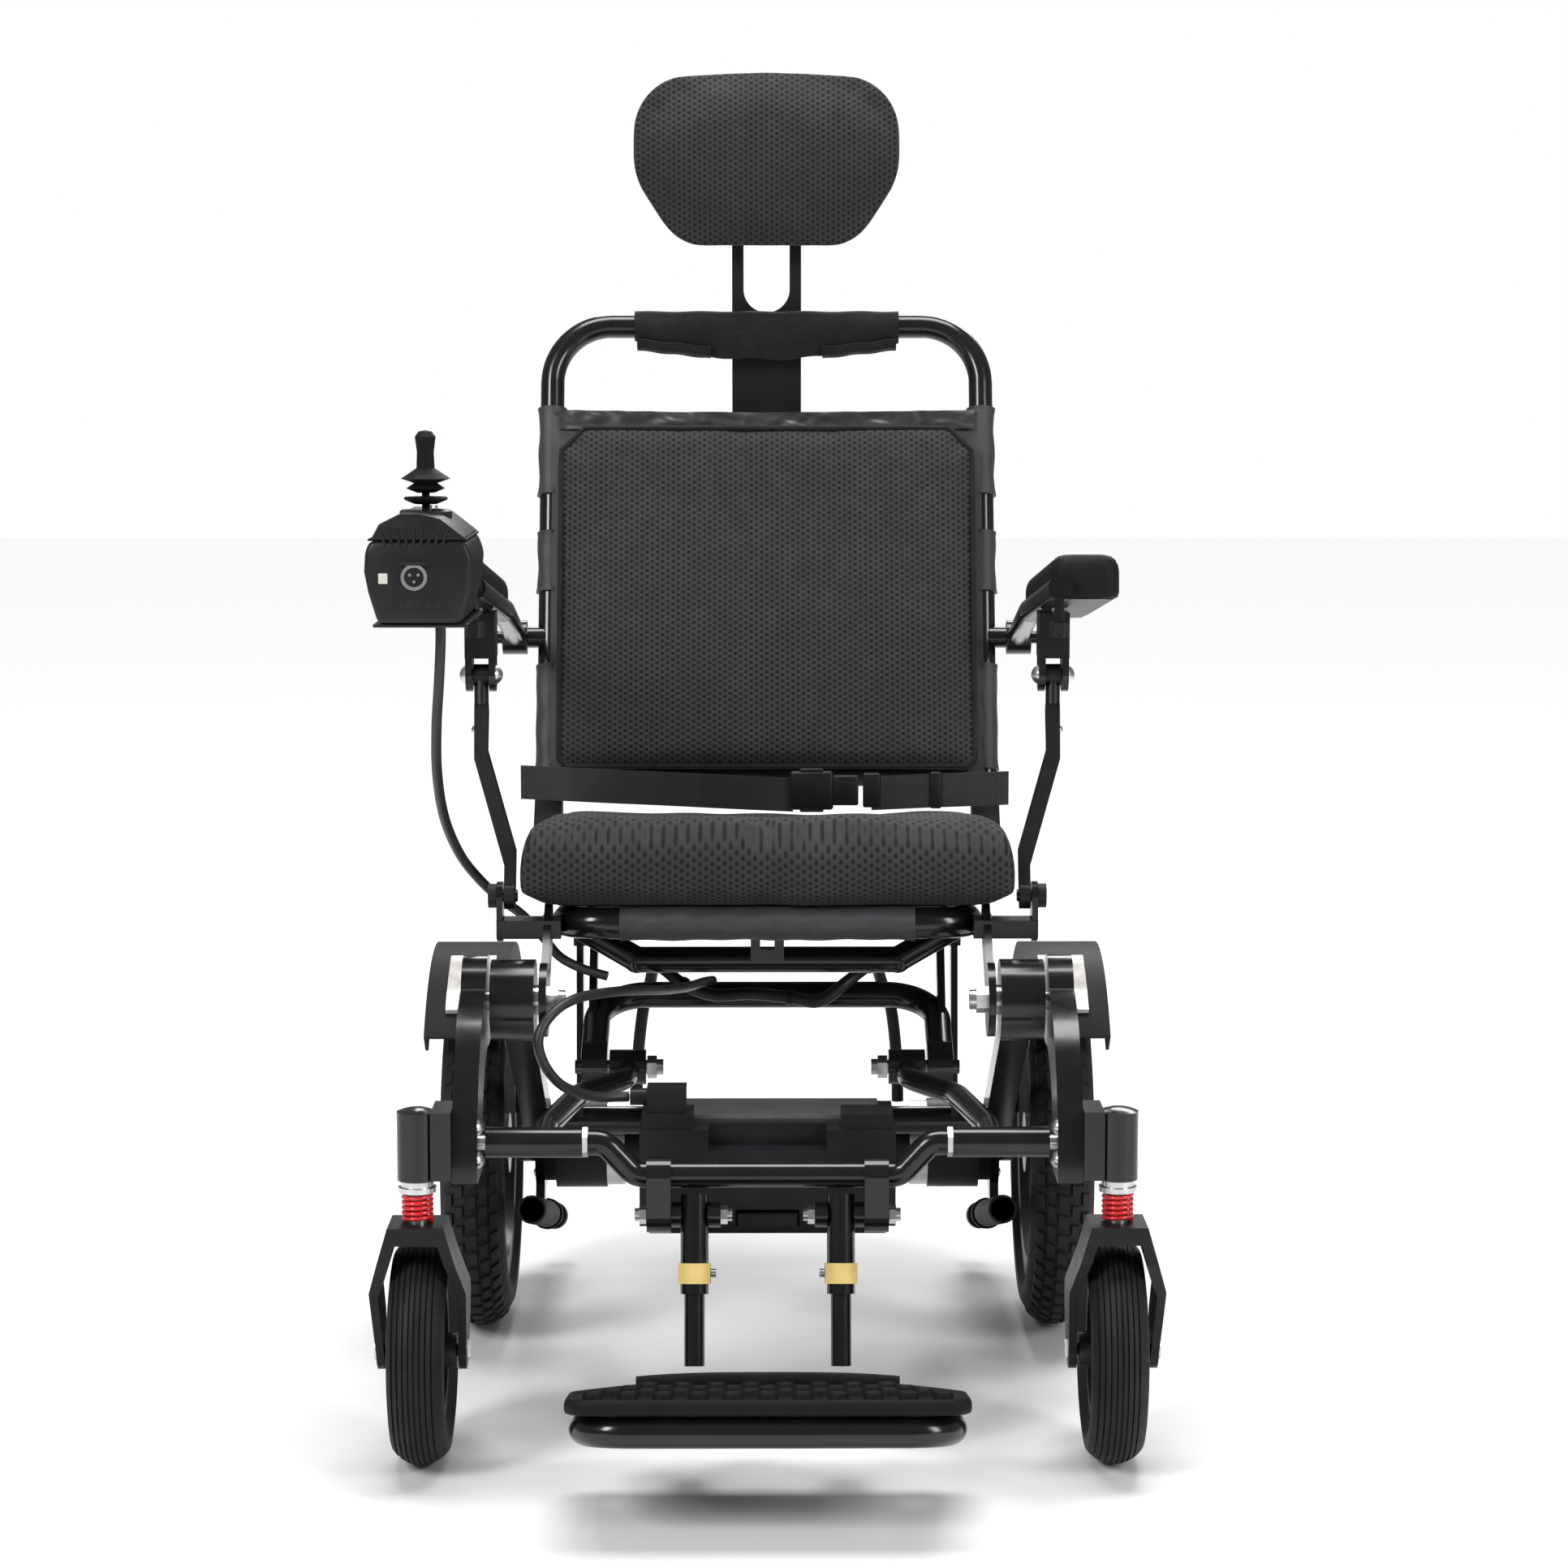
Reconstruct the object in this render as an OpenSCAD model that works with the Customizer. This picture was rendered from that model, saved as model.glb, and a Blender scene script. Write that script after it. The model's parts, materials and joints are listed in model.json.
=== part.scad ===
// Folding power wheelchair with a reclining mesh seat, a headrest and a joystick controller.
// Millimetres. +Z is up, the chair faces -Y, and +X is on the left hand of a person sitting in it.
// The origin is on the floor under the middle of the chair's outline.
// Parts named "left" lie on the -X side, as seen by someone facing the chair.
// Depths are measured rearward from the plane of the two caster stems; from_stems() places them.

/* [Rear wheels] */
// Outer diameter of the driven rear tyre
rear_d = 327; // [300:1:335]
// Width of the rear tyre
rear_w = 57; // [48:1:60]
// Distance between the middle planes of the two rear wheels
rear_track = 514; // [510:1:518]

/* [Casters] */
// Outer diameter of the caster tyre
caster_d = 180; // [170:1:182]
// Width of the caster tyre
caster_w = 46; // [40:1:48]
// Distance between the two caster stems
stem_track = 547; // [540:1:550]
// Distance that the caster axle trails behind its stem
trail = 32; // [24:1:34]
// Free length of the suspension spring between fork and housing
spring_l = 24; // [20:1:24]

/* [Frame] */
// Diameter of the arch tube under the seat
arch_d = 23; // [20:1:24]
// Diameter of the seat frame tube
seat_tube_d = 26; // [24:1:26]
// Diameter of the backrest tube
back_tube_d = 22; // [20:1:22]
// Radius of the main folding hinge drum
drum_r = 33; // [30:1:34]

/* [Seat] */
// Width of the seat cushion
seat_w = 410; // [380:1:411]
// Height of the cushion's front edge above the floor
seat_h = 496; // [490:1:500]
// Slope of the seat's top, front edge up
seat_slope = 7; // [5:0.5:8]
// Lean of the backrest, measured from upright
recline = 17.4; // [16:0.1:18]
// Width of the backrest cushion
back_w = 392; // [360:1:394]

/* [Headrest] */
// Width of the headrest pad
head_w = 251; // [200:1:260]
// Height of the headrest pad
head_h = 162; // [140:1:164]
// Thickness of the headrest pad
head_t = 46; // [36:1:48]

/* [Armrests] */
// Length of an arm pad
arm_l = 315; // [280:1:318]
// Slope of an arm pad, front end up
arm_slope = 7; // [6:0.5:7]

/* [Footrest] */
// Width of the footplate
foot_w = 302; // [260:1:306]
// Depth of the footplate
foot_l = 150; // [130:1:154]
// Lean of the footrest tubes, foot end forward
foot_lean = 13; // [10:0.5:14]

/* [Hidden] */

// Curves are drawn with this many facets
$fn = 64;
// Depth of the rear axle behind the caster stems
axle_y = 470;
// Height of the rear axle
axle_z = rear_d / 2;
// Front and rear ends of the chair, measured from the stems
front_end = -192.5;
rear_end = 788;
// Depth of the stem plane that puts the outline's middle at the origin
stem_y = -(front_end + rear_end) / 2;

// Pivots of the folding frame, as [depth, height]
hinge = [130, 354];
link_front = [20, 260];
link_rear = [320, 262];
arch_pivot = hinge + link_rear - link_front;
// Pivots of the backrest and the armrest linkage, as [depth, height]
back_pivot = [572, 432];
arm_rear = [640, 609];
arm_front = [262, 607];
strut_foot = back_pivot + arm_front - arm_rear;
// Pivot of the footrest, as [depth, height]
foot_pivot = [20, 202];

// Running clearance round a pin
play = 0.08;

// Colours
frame_black = [0.05, 0.05, 0.06];
matte_black = [0.12, 0.12, 0.13];
fabric_black = [0.09, 0.09, 0.10];
nylon_grey = [0.20, 0.20, 0.22];
zinc = [0.75, 0.77, 0.80];
tyre_black = [0.10, 0.10, 0.10];
spring_red = [0.85, 0.08, 0.10];

// ---------- helpers ----------

module from_stems() {
  translate([0, stem_y, 0]) children();
}

// The children on both sides of the chair
module both_sides() {
  children();
  mirror([1, 0, 0]) children();
}

// The children on one side: 1 is +X, -1 is -X
module on_side(side) {
  mirror([side < 0 ? 1 : 0, 0, 0]) children();
}

// Round bar along X between x0 and x1 at a [depth, height]
module bar_x(x0, x1, at, r) {
  translate([x0, at[0], at[1]]) rotate([0, 90, 0]) cylinder(h = x1 - x0, r = r);
}

// Disc at a [depth, height], in 2D
module circle_at(at, r) {
  translate(at) circle(r = r);
}

// Plate in the side view: the 2D children, drawn as depth and height, between x0 and x1
module side_plate(x0, x1) {
  translate([x0, 0, 0]) rotate([90, 0, 90]) linear_extrude(height = x1 - x0) children();
}

// Box given by its two corners
module block(low, high) {
  translate(low) cube(high - low);
}

// Points on an arc of radius r round c, from one angle to another
function arc(c, r, from, to, steps = 12) =
  [for (k = [0 : steps]) let (a = from + (to - from) * k / steps) c + r * [cos(a), sin(a)]];

// Flat strip with round ends from a to b, in 2D
module strip(a, b, r) {
  way = atan2(b[1] - a[1], b[0] - a[0]);
  polygon(concat(arc(b, r, way - 90, way + 90), arc(a, r, way + 90, way + 270)));
}

function unit(v) = v / norm(v);

// Straight round bar from a to b
module rod(a, b, r) {
  d = b - a;
  translate(a) rotate([0, acos(d[2] / norm(d)), atan2(d[1], d[0])]) cylinder(h = norm(d), r = r);
}

// Angle turned at corner i of a bent tube, and how much straight the bend uses up there
function turn_at(p, i) = acos(unit(p[i] - p[i - 1]) * unit(p[i + 1] - p[i]));
function used_at(p, i, bend) = (i == 0 || i == len(p) - 1) ? 0 : bend * tan(turn_at(p, i) / 2);

// Bend of a tube at corner b, coming from a and going to c
module elbow(a, b, c, bend, r) {
  u = unit(b - a);
  v = unit(c - b);
  n = unit(v - (u * v) * u);
  turn = acos(u * v);
  o = b - u * bend * tan(turn / 2) + n * bend;
  z = cross(-n, u);
  multmatrix([
    [-n[0], u[0], z[0], o[0]],
    [-n[1], u[1], z[1], o[1]],
    [-n[2], u[2], z[2], o[2]],
    [0, 0, 0, 1]
  ])
    rotate_extrude(angle = turn) translate([bend, 0]) circle(r = r);
}

// The straight stretches are a hair fatter and lap the bends, so that they join cleanly
lap = 0.6;
lap_r = 0.15;

// Round tube that follows the corners p with the given bend radius
module bent_tube(p, bend, r) {
  last = len(p) - 2;
  for (i = [0 : last]) {
    u = unit(p[i + 1] - p[i]);
    start = used_at(p, i, bend) - (i == 0 ? 0 : lap);
    stop = used_at(p, i + 1, bend) - (i == last ? 0 : lap);
    rod(p[i] + u * start, p[i + 1] - u * stop, r + lap_r);
  }
  for (i = [1 : len(p) - 2]) elbow(p[i - 1], p[i], p[i + 1], bend, r);
}

// Round tube that follows the corners p, with a welded knuckle at each corner
module welded_tube(p, r) {
  for (i = [0 : len(p) - 2]) rod(p[i], p[i + 1], r);
  for (i = [1 : len(p) - 2]) translate(p[i]) sphere(r = r + 0.6);
}

// Points on a smooth curve through p, n to each stretch
function curve_point(p, i, t) =
  let (a = p[max(i - 1, 0)], b = p[i], c = p[i + 1], d = p[min(i + 2, len(p) - 1)])
  0.5 * (2 * b + (c - a) * t + (2 * a - 5 * b + 4 * c - d) * t * t
    + (3 * b - a - 3 * c + d) * t * t * t);
function curve(p, n) =
  [for (i = [0 : len(p) - 2], k = [0 : n - 1]) curve_point(p, i, k / n), p[len(p) - 1]];
function heading(q, i) = unit(q[min(i + 1, len(q) - 1)] - q[max(i - 1, 0)]);
function level(v, t) = unit(v - (v * t) * t);
function carry(q, i, v) =
  i == len(q) ? [] : let (s = level(v, heading(q, i))) concat([s], carry(q, i + 1, s));

// Cable of radius r swept along the points q
module cable(q, r, sides = 8, start = [0.3, 0.1, 1]) {
  across = carry(q, 0, start);
  rings = [
    for (i = [0 : len(q) - 1], k = [0 : sides - 1])
      let (w = cross(heading(q, i), across[i]), a = 360 * k / sides)
      q[i] + r * cos(a) * across[i] + r * sin(a) * w
  ];
  last = (len(q) - 1) * sides;
  walls = [
    for (i = [0 : len(q) - 2], k = [0 : sides - 1])
      let (a = i * sides + k, b = i * sides + (k + 1) % sides)
      each [[a, a + sides, b], [b, a + sides, b + sides]]
  ];
  first_end = [for (k = [0 : sides - 1]) k];
  last_end = [for (k = [sides - 1 : -1 : 0]) last + k];
  polyhedron(points = rings, faces = concat(walls, [first_end, last_end]));
}

// Dome-headed bolt head at the origin, rising along +Z
module dome_head(r, h) {
  ball = (r * r + h * h) / (2 * h);
  intersection() {
    translate([0, 0, h - ball]) sphere(r = ball);
    cylinder(h = h, r = r);
  }
}

// Hexagon nut with a round cap, rising along +Z
module cap_nut(across, h) {
  cylinder(h = h * 0.6, r = across / 2, $fn = 6);
  cylinder(h = h, r = across * 0.34);
}

// Children turned so that their +Z points along +X (way = 1) or -X (way = -1)
module facing_x(x, at, way) {
  translate([x, at[0], at[1]]) rotate([0, 90 * way, 0]) children();
}

// ---------- rear frame ----------

axle = [axle_y, axle_z];
cross_at = [412, 196];
leg_in = 192;
leg_out = 216;
plate_in = 200;
plate_out = 208;

// Drum, square leg and axle plate on each side
module rear_legs() {
  color(frame_black) from_stems() both_sides() difference() {
    union() {
      bar_x(188, 223.5, hinge, drum_r);
      side_plate(leg_in, leg_out) strip(hinge + [24, -14], axle + [-26, 14.6], 12);
      side_plate(plate_in, plate_out) {
        circle_at(axle, 42);
        strip(axle, [448, 108], 14);
      }
      bar_x(plate_out - 1, 222, axle, 17);
    }
    bar_x(180, 230, hinge, 8 + play);
    bar_x(180, 230, axle, 8 + play);
    bar_x(leg_in - 1, plate_in, axle, 34.3);
    rod([205, 420, 111.56], [205, 486, 95.1], 12.5 + play);
  }
}

// Pins of the main hinge, each with a nut and cap on its inner end and a spacer to the drum
module main_hinge_pins() {
  color(zinc) from_stems() both_sides() {
    bar_x(164, 246, hinge, 8);
    facing_x(177.8, hinge, -1) cap_nut(22, 14);
    difference() {
      bar_x(184.6, 187.9, hinge, 12);
      bar_x(184, 188, hinge, 7);
    }
  }
}

// Cross tube between the rear legs, the two upright bars and the battery's carrier bars
module rear_cross_frame() {
  color(frame_black) from_stems() difference() {
    union() {
      bar_x(-leg_in + 0.1, leg_in - 0.1, cross_at, 12.5);
      both_sides() {
        side_plate(163, 169) strip(cross_at, arch_pivot, 12);
        block([52, 116, 164], [68, 418, 170]);
        block([52, 396, 164], [68, 424, 190]);
      }
      block([-96, 116, 164], [96, 136, 170]);
      block([-96, 214, 164], [96, 234, 170]);
    }
    bar_x(-180, 180, arch_pivot, 6 + play);
  }
}

// Motor and gearbox on the inner side of each axle plate, with the plate's bolts
module motors() {
  from_stems() both_sides() {
    color(matte_black) bar_x(144, 190, axle, 40);
    color(matte_black) difference() {
      bar_x(190, plate_in - 0.1, axle, 34);
      bar_x(189, plate_in, axle, 9);
    }
    color(zinc) bar_x(128, 144, axle, 38);
    color(matte_black) bar_x(112, 128, axle, 30);
    color(zinc) for (a = [0, 60, 240, 300])
      facing_x(plate_out + 0.1, axle + 28 * [cos(a), sin(a)], 1) dome_head(5, 3);
  }
}

anti_tip_front = [330, 134];
anti_tip_slope = 14;

// Anti-tip tubes, open at the front, each with a collar, an inner tube and a rubber foot
module anti_tip_tubes() {
  from_stems() both_sides() translate([205, anti_tip_front[0], anti_tip_front[1]])
    rotate([-90 - anti_tip_slope, 0, 0]) {
      color(frame_black) difference() {
        cylinder(h = 230, r = 12.5);
        translate([0, 0, -1]) cylinder(h = 70, r = 10.5);
      }
      color(matte_black) translate([0, 0, 230]) cylinder(h = 14, r = 14.5);
      color(frame_black) translate([0, 0, 244]) cylinder(h = 90, r = 10);
      color(tyre_black) translate([0, 0, 334]) cylinder(h = 26, r = 13);
    }
}

fender_r = 182;
fender_in = 228;
fender_out = 298;

// Curved fender over each rear wheel with the stay that holds it to the leg
module fenders() {
  color(frame_black) from_stems() both_sides() {
    translate([0, axle_y, axle_z]) rotate([90, 0, 90]) translate([0, 0, fender_in])
      rotate(20) rotate_extrude(angle = 118, $fn = 128)
        difference() {
          translate([fender_r - 22, 0]) square([22, fender_out - fender_in]);
          translate([fender_r - 24, 3]) square([21, fender_out - fender_in - 6]);
        }
    side_plate(219, 223) strip([axle_y - 66, axle_z + 50], [axle_y - 60, axle_z + 156], 9);
    bar_x(222, 228.5, [axle_y - 60, axle_z + 156], 6);
    bar_x(leg_out + 0.1, 219.5, [axle_y - 66, axle_z + 50], 6);
  }
}

// Oval lamp lens on the front of each fender
module fender_lamps() {
  color([0.9, 0.85, 0.75]) from_stems() both_sides()
    translate([0, axle_y, axle_z]) rotate([90, 0, 90]) translate([0, 0, 240])
      rotate(106) rotate_extrude(angle = 24, $fn = 128)
        translate([fender_r + 0.1, 0]) square([5, 40]);
}

// ---------- battery and wiring ----------

battery_w = 208;
battery_front = 114;
battery_back = 232;
battery_low = 170.4;
battery_high = 250;

// Battery box with a raised socket at each front corner and a moulded handle under its front
module battery_case() {
  color(matte_black) from_stems() {
    difference() {
      block([-battery_w / 2, battery_front, battery_low], [battery_w / 2, battery_back, battery_high]);
      block([-48, battery_front - 1, 232], [48, battery_front + 26, battery_high + 1]);
      block([-26, battery_front - 1, battery_low - 1], [26, battery_front + 12, 184]);
    }
    both_sides() block([60, battery_front + 2, battery_high], [102, battery_front + 42, 262]);
    block([-24, battery_front - 8, 172], [24, battery_front + 6, 181]);
  }
}

// Bare metal lid of the battery, with a small hole
module battery_top_plate() {
  color(zinc) from_stems() difference() {
    block([-92, battery_front + 44, battery_high + 0.1], [92, battery_back - 4, 253]);
    translate([0, battery_front + 70, 249]) cylinder(h = 6, r = 3);
  }
}

// Right-angle plug standing in the socket on the left of the battery
module battery_plug() {
  color(matte_black) from_stems() {
    block([-98, battery_front + 8, 262.1], [-66, battery_front + 36, 282]);
    rod([-98, battery_front + 22, 273], [-112, battery_front + 22, 273], 7);
  }
}

lead_route = [
  [-113.4, 136, 273], [-122, 133, 273.5], [-136, 124, 275], [-152, 110, 281], [-168, 94, 293],
  [-180, 86, 312], [-183, 86, 332], [-172, 98, 349], [-154, 120, 357], [-130, 160, 355],
  [-108, 210, 348], [-88, 270, 338], [-70, 330, 330], [-56, 380, 326], [-48, 400, 324]
];

// Lead from the battery plug up and back to the wiring under the seat
module battery_lead() {
  color(matte_black) from_stems() cable(curve(lead_route, 4), 4.2);
}

harness_route = [
  [118, 472, 201], [117, 474, 240], [112, 475, 285], [104, 473, 308], [98, 462, 326],
  [92, 440, 330], [84, 418, 330], [70, 402, 322], [46, 396, 306], [20, 398, 309],
  [-14, 400, 312], [-48, 400, 311], [-74, 404, 320], [-90, 418, 330], [-98, 440, 330],
  [-102, 462, 326], [-106, 473, 308], [-112, 475, 285], [-117, 474, 240], [-118, 472, 201]
];

// Wiring bundle that runs under the seat to the motors
module wiring_harness() {
  color(matte_black) from_stems() cable(curve(harness_route, 3), 5.5);
}

// ---------- rear wheels ----------

// Wheel parts are drawn round the Y axis at the origin, then placed
module wheel_at(x, at) {
  translate([x, at[0], at[1]]) rotate([0, 90, 0]) children();
}

// Five-spoke rim
module rear_rim() {
  color([0.35, 0.35, 0.37]) difference() {
    union() {
      rotate_extrude($fn = 96) polygon([
        [104, -22], [124, -22], [118, -14], [118, 14], [124, 22], [104, 22], [100, 14], [100, -14]
      ]);
      for (a = [0 : 72 : 288]) rotate(a) translate([20, -9, -9]) cube([84, 18, 18]);
      translate([0, 0, -24]) cylinder(h = 44, r = 27);
    }
    translate([0, 0, -30]) cylinder(h = 60, r = 8.05);
  }
}

// Axle of a rear wheel, with its outer nut
module axle_stub() {
  color(zinc) {
    translate([0, 0, -66.5]) cylinder(h = 88.5, r = 8);
    translate([0, 0, 20.1]) cylinder(h = 6, r = 12, $fn = 6);
  }
}

// Rear tyre, hollowed to fit the rim
module rear_tyre() {
  color(tyre_black) rotate_extrude($fn = 96) difference() {
    intersection() {
      translate([rear_d / 2 - 31, 0]) circle(r = 31, $fn = 48);
      translate([100, -rear_w / 2]) square([64, rear_w]);
    }
    polygon([
      [90, -22.1], [124.1, -22.1], [118.1, -14.1], [118.1, 14.1], [124.1, 22.1], [90, 22.1]
    ]);
  }
}

module rear_rim_side(side) {
  from_stems() on_side(side) wheel_at(rear_track / 2, axle) {
    rear_rim();
    axle_stub();
  }
}
module rear_rim_left() { rear_rim_side(-1); }
module rear_rim_right() { rear_rim_side(1); }

module rear_tyre_side(side) {
  from_stems() on_side(side) wheel_at(rear_track / 2, axle) rear_tyre();
}
module rear_tyre_left() { rear_tyre_side(-1); }
module rear_tyre_right() { rear_tyre_side(1); }

// ---------- folding linkage ----------

arch_x = 150;

// Arch under the seat: it hangs from the upright bars and carries the rear ends of the links
module rear_arch() {
  from_stems() {
    color(frame_black) difference() {
      union() {
        bent_tube([
          [-arch_x, 330, 266], [-arch_x, 430, 306], [arch_x, 430, 306], [arch_x, 330, 266]
        ], 45, arch_d / 2);
        both_sides() {
          side_plate(150, 157) strip(arch_pivot, [392, 291], 11);
          side_plate(138, 160) strip(link_rear, [332, 267], 15);
        }
      }
      bar_x(-170, 170, link_rear, 6 + play);
      bar_x(-160, 160, arch_pivot, 6 + play);
    }
    color(zinc) both_sides() {
      bar_x(98, 166, link_rear, 6);
      facing_x(103.6, link_rear, -1) cap_nut(20, 14);
      bar_x(146, 172, arch_pivot, 6);
    }
  }
}

// Lower links: rear boss, cranked tube and front sleeve on each side
module lower_links() {
  color(frame_black) from_stems() both_sides() difference() {
    union() {
      bar_x(104.5, 136, link_rear, 15);
      bent_tube([for (c = [[120, 311], [120, 276], [158, 205], [177, 76], [178, 26.5]])
        [c[0], c[1], 260.5]], 60, 9.4);
      bar_x(145.4, 221, link_front, 12);
    }
    bar_x(90, 230, link_front, 6 + play);
    bar_x(90, 150, link_rear, 6 + play);
  }
}

// ---------- front frame ----------

bow = [130, 235];

// Curved front legs, from the drum forward and down to the caster housings
module front_legs() {
  color(frame_black) from_stems() both_sides() side_plate(226, 246) difference() {
    union() {
      intersection() {
        difference() {
          circle_at(bow, 138);
          circle_at(bow, 86);
        }
        translate(bow - [140, 2]) square([140, 142]);
      }
      circle_at(hinge, 37);
    }
    circle_at(hinge, 8 + play);
    circle_at(link_front, 6 + play);
  }
}

// Caster housings: upright tube with a domed top, and the block that bolts to the leg
module caster_housings() {
  color(frame_black) from_stems() both_sides() difference() {
    union() {
      translate([stem_track / 2, 0, 235]) cylinder(h = 54, r = 15.5);
      translate([stem_track / 2, 0, 289]) dome_head(15.5, 3.5);
      block([246.1, -13, 236], [262, 36, 290]);
    }
    translate([stem_track / 2, 0, 230]) cylinder(h = 57, r = 8 + play);
  }
}

// Bolts of the front frame: link pins with cap nuts, and dome bolts of the housings
module front_bolts() {
  color(zinc) from_stems() both_sides() {
    bar_x(141.2, 246, link_front, 6);
    facing_x(145.2, link_front, -1) cylinder(h = 4, r = 12, $fn = 6);
    for (at = [[0, 276], [0, 250]]) facing_x(225.9, at, -1) dome_head(7, 5);
  }
}

hanger_z = 234;

// Bent tube between the front legs with the brackets that carry the footrest
module footrest_hanger() {
  end_z = link_front[1];
  color(frame_black) from_stems() difference() {
    union() {
      bent_tube([
        [-141, 20, end_z], [-128, 20, end_z], [-104, 20, hanger_z],
        [104, 20, hanger_z], [128, 20, end_z], [141, 20, end_z]
      ], 16, 10);
      both_sides() side_plate(76, 95) strip(foot_pivot, [20, hanger_z], 14);
    }
    both_sides() bar_x(70, 100, foot_pivot, 5 + play);
  }
}

// ---------- casters ----------

housing_low = 235;
crown_high = 201;
crown_low = 187;
caster_axle = [trail, caster_d / 2];
washer_low = crown_high + spring_l + 0.6;

module caster_place(side) {
  from_stems() on_side(side) translate([stem_track / 2, 0, 0]) children();
}

// Washer and spacer between the spring and the housing
module caster_washers(side) {
  color(zinc) caster_place(side) difference() {
    union() {
      translate([0, 0, washer_low]) cylinder(h = 4, r = 15);
      translate([0, 0, washer_low + 4]) cylinder(h = housing_low - washer_low - 4.3, r = 13);
    }
    translate([0, 0, washer_low - 1]) cylinder(h = 12, r = 8 + play);
  }
}
module caster_washers_left() { caster_washers(-1); }
module caster_washers_right() { caster_washers(1); }

coil_turns = 5;
coil_wire = 1.6;

// Compression spring round the caster stem
module caster_spring(side) {
  low = crown_high + coil_wire + 0.3;
  climb = spring_l - 2 * coil_wire - 0.6;
  color(spring_red) caster_place(side) cable([
    for (i = [0 : coil_turns * 14])
      [11 * cos(i * 360 / 14), 11 * sin(i * 360 / 14), low + climb * i / (coil_turns * 14)]
  ], coil_wire, 6);
}
module caster_spring_left() { caster_spring(-1); }
module caster_spring_right() { caster_spring(1); }

leg_span = 38;
leg_gap = 31;

// Caster fork with its stem, the nut under the crown and the wheel axle
module caster_fork(side) {
  caster_place(side) {
    color(frame_black) difference() {
      intersection() {
        rotate([90, 0, 0]) translate([0, 0, -60]) linear_extrude(height = 90) difference() {
          polygon([
            [-22, crown_high], [22, crown_high], [leg_span, 146], [leg_span - 3, 74],
            [3 - leg_span, 74], [-leg_span, 146]
          ]);
          polygon([
            [-17, crown_low], [17, crown_low], [leg_gap, 143], [leg_gap - 2.6, 60],
            [2.6 - leg_gap, 60], [-leg_gap, 143]
          ]);
        }
        side_plate(-45, 45) {
          polygon([[-24, 210], [24, 210], [24, 178], [48, 120], [46, 92], [16, 92], [-24, 172]]);
          circle_at(caster_axle, 15);
        }
      }
      translate([0, 0, 150]) cylinder(h = 60, r = 8.02);
      bar_x(-45, 45, caster_axle, 5.02);
    }
    color(zinc) {
      translate([0, 0, crown_low]) cylinder(h = 88, r = 8);
      bar_x(3 - leg_span, leg_span - 3, caster_axle, 5);
      facing_x(leg_span - 2.3, caster_axle, 1) cylinder(h = 2.3, r = 8, $fn = 6);
      facing_x(2.3 - leg_span, caster_axle, -1) cylinder(h = 2.3, r = 8, $fn = 6);
    }
  }
}
module caster_fork_left() { caster_fork(-1); }
module caster_fork_right() { caster_fork(1); }

// Rim of a caster with its web and hub
module caster_rim(side) {
  color(matte_black) caster_place(side) wheel_at(0, caster_axle) difference() {
    union() {
      rotate_extrude() polygon([
        [50, -16], [62, -16], [60, -8], [60, 8], [62, 16], [50, 16], [54, 8], [54, -8]
      ]);
      translate([0, 0, -4]) cylinder(h = 8, r = 56);
      translate([0, 0, -27]) cylinder(h = 54, r = 14);
    }
    translate([0, 0, -30]) cylinder(h = 60, r = 5 + play);
  }
}
module caster_rim_left() { caster_rim(-1); }
module caster_rim_right() { caster_rim(1); }

// Tyre of a caster
module caster_tyre(side) {
  color(tyre_black) caster_place(side) wheel_at(0, caster_axle) rotate_extrude($fn = 96)
    difference() {
      intersection() {
        translate([caster_d / 2 - 26, 0]) circle(r = 26, $fn = 48);
        translate([54, -caster_w / 2]) square([36, caster_w]);
      }
      polygon([
        [40, -16.1], [62.1, -16.1], [60.1, -8.1], [60.1, 8.1], [62.1, 16.1], [40, 16.1]
      ]);
    }
}
module caster_tyre_left() { caster_tyre(-1); }
module caster_tyre_right() { caster_tyre(1); }

// ---------- footrest ----------

tube_x = 57.5;

// The children in the footrest's own frame: the pivot at the origin, -Z down along the tubes
module on_footrest() {
  from_stems() translate([0, foot_pivot[0], foot_pivot[1]]) rotate([-foot_lean, 0, 0]) children();
}

// Outer footrest tubes with their pivot bolts, washers and nuts
module footrest_tubes() {
  color(frame_black) on_footrest() both_sides() difference() {
    union() {
      translate([tube_x, 0, -62]) cylinder(h = 78, r = 11);
      bar_x(68, 75.6, [0, 0], 10);
      bar_x(37, 47, [0, 0], 10);
    }
    translate([tube_x, 0, -63]) cylinder(h = 57.4, r = 8 + play);
    bar_x(30, 110, [0, 0], 5.02);
  }
  color(zinc) on_footrest() both_sides() {
    bar_x(34, 99, [0, 0], 5);
    facing_x(36.9, [0, 0], -1) cap_nut(15, 9);
    facing_x(95.6, [0, 0], 1) cap_nut(15, 9);
  }
}

// Yellow straps at the foot of the outer tubes, with snap buttons facing each other
module height_bands() {
  on_footrest() both_sides() {
    color([0.93, 0.80, 0.45]) difference() {
      translate([tube_x, 0, -54]) cylinder(h = 16, r = 13);
      translate([tube_x, 0, -55]) cylinder(h = 18, r = 11.05);
    }
    color(zinc) facing_x(tube_x - 12.9, [0, -46], -1) cylinder(h = 4, r = 3.5);
  }
}

plate_front = [-190, 112];
plate_tilt = 11;

// The children in the footplate's frame: front top edge at the origin, +Y rearward
module on_plate() {
  from_stems() translate([0, plate_front[0], plate_front[1]]) rotate([-plate_tilt, 0, 0]) children();
}

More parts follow.
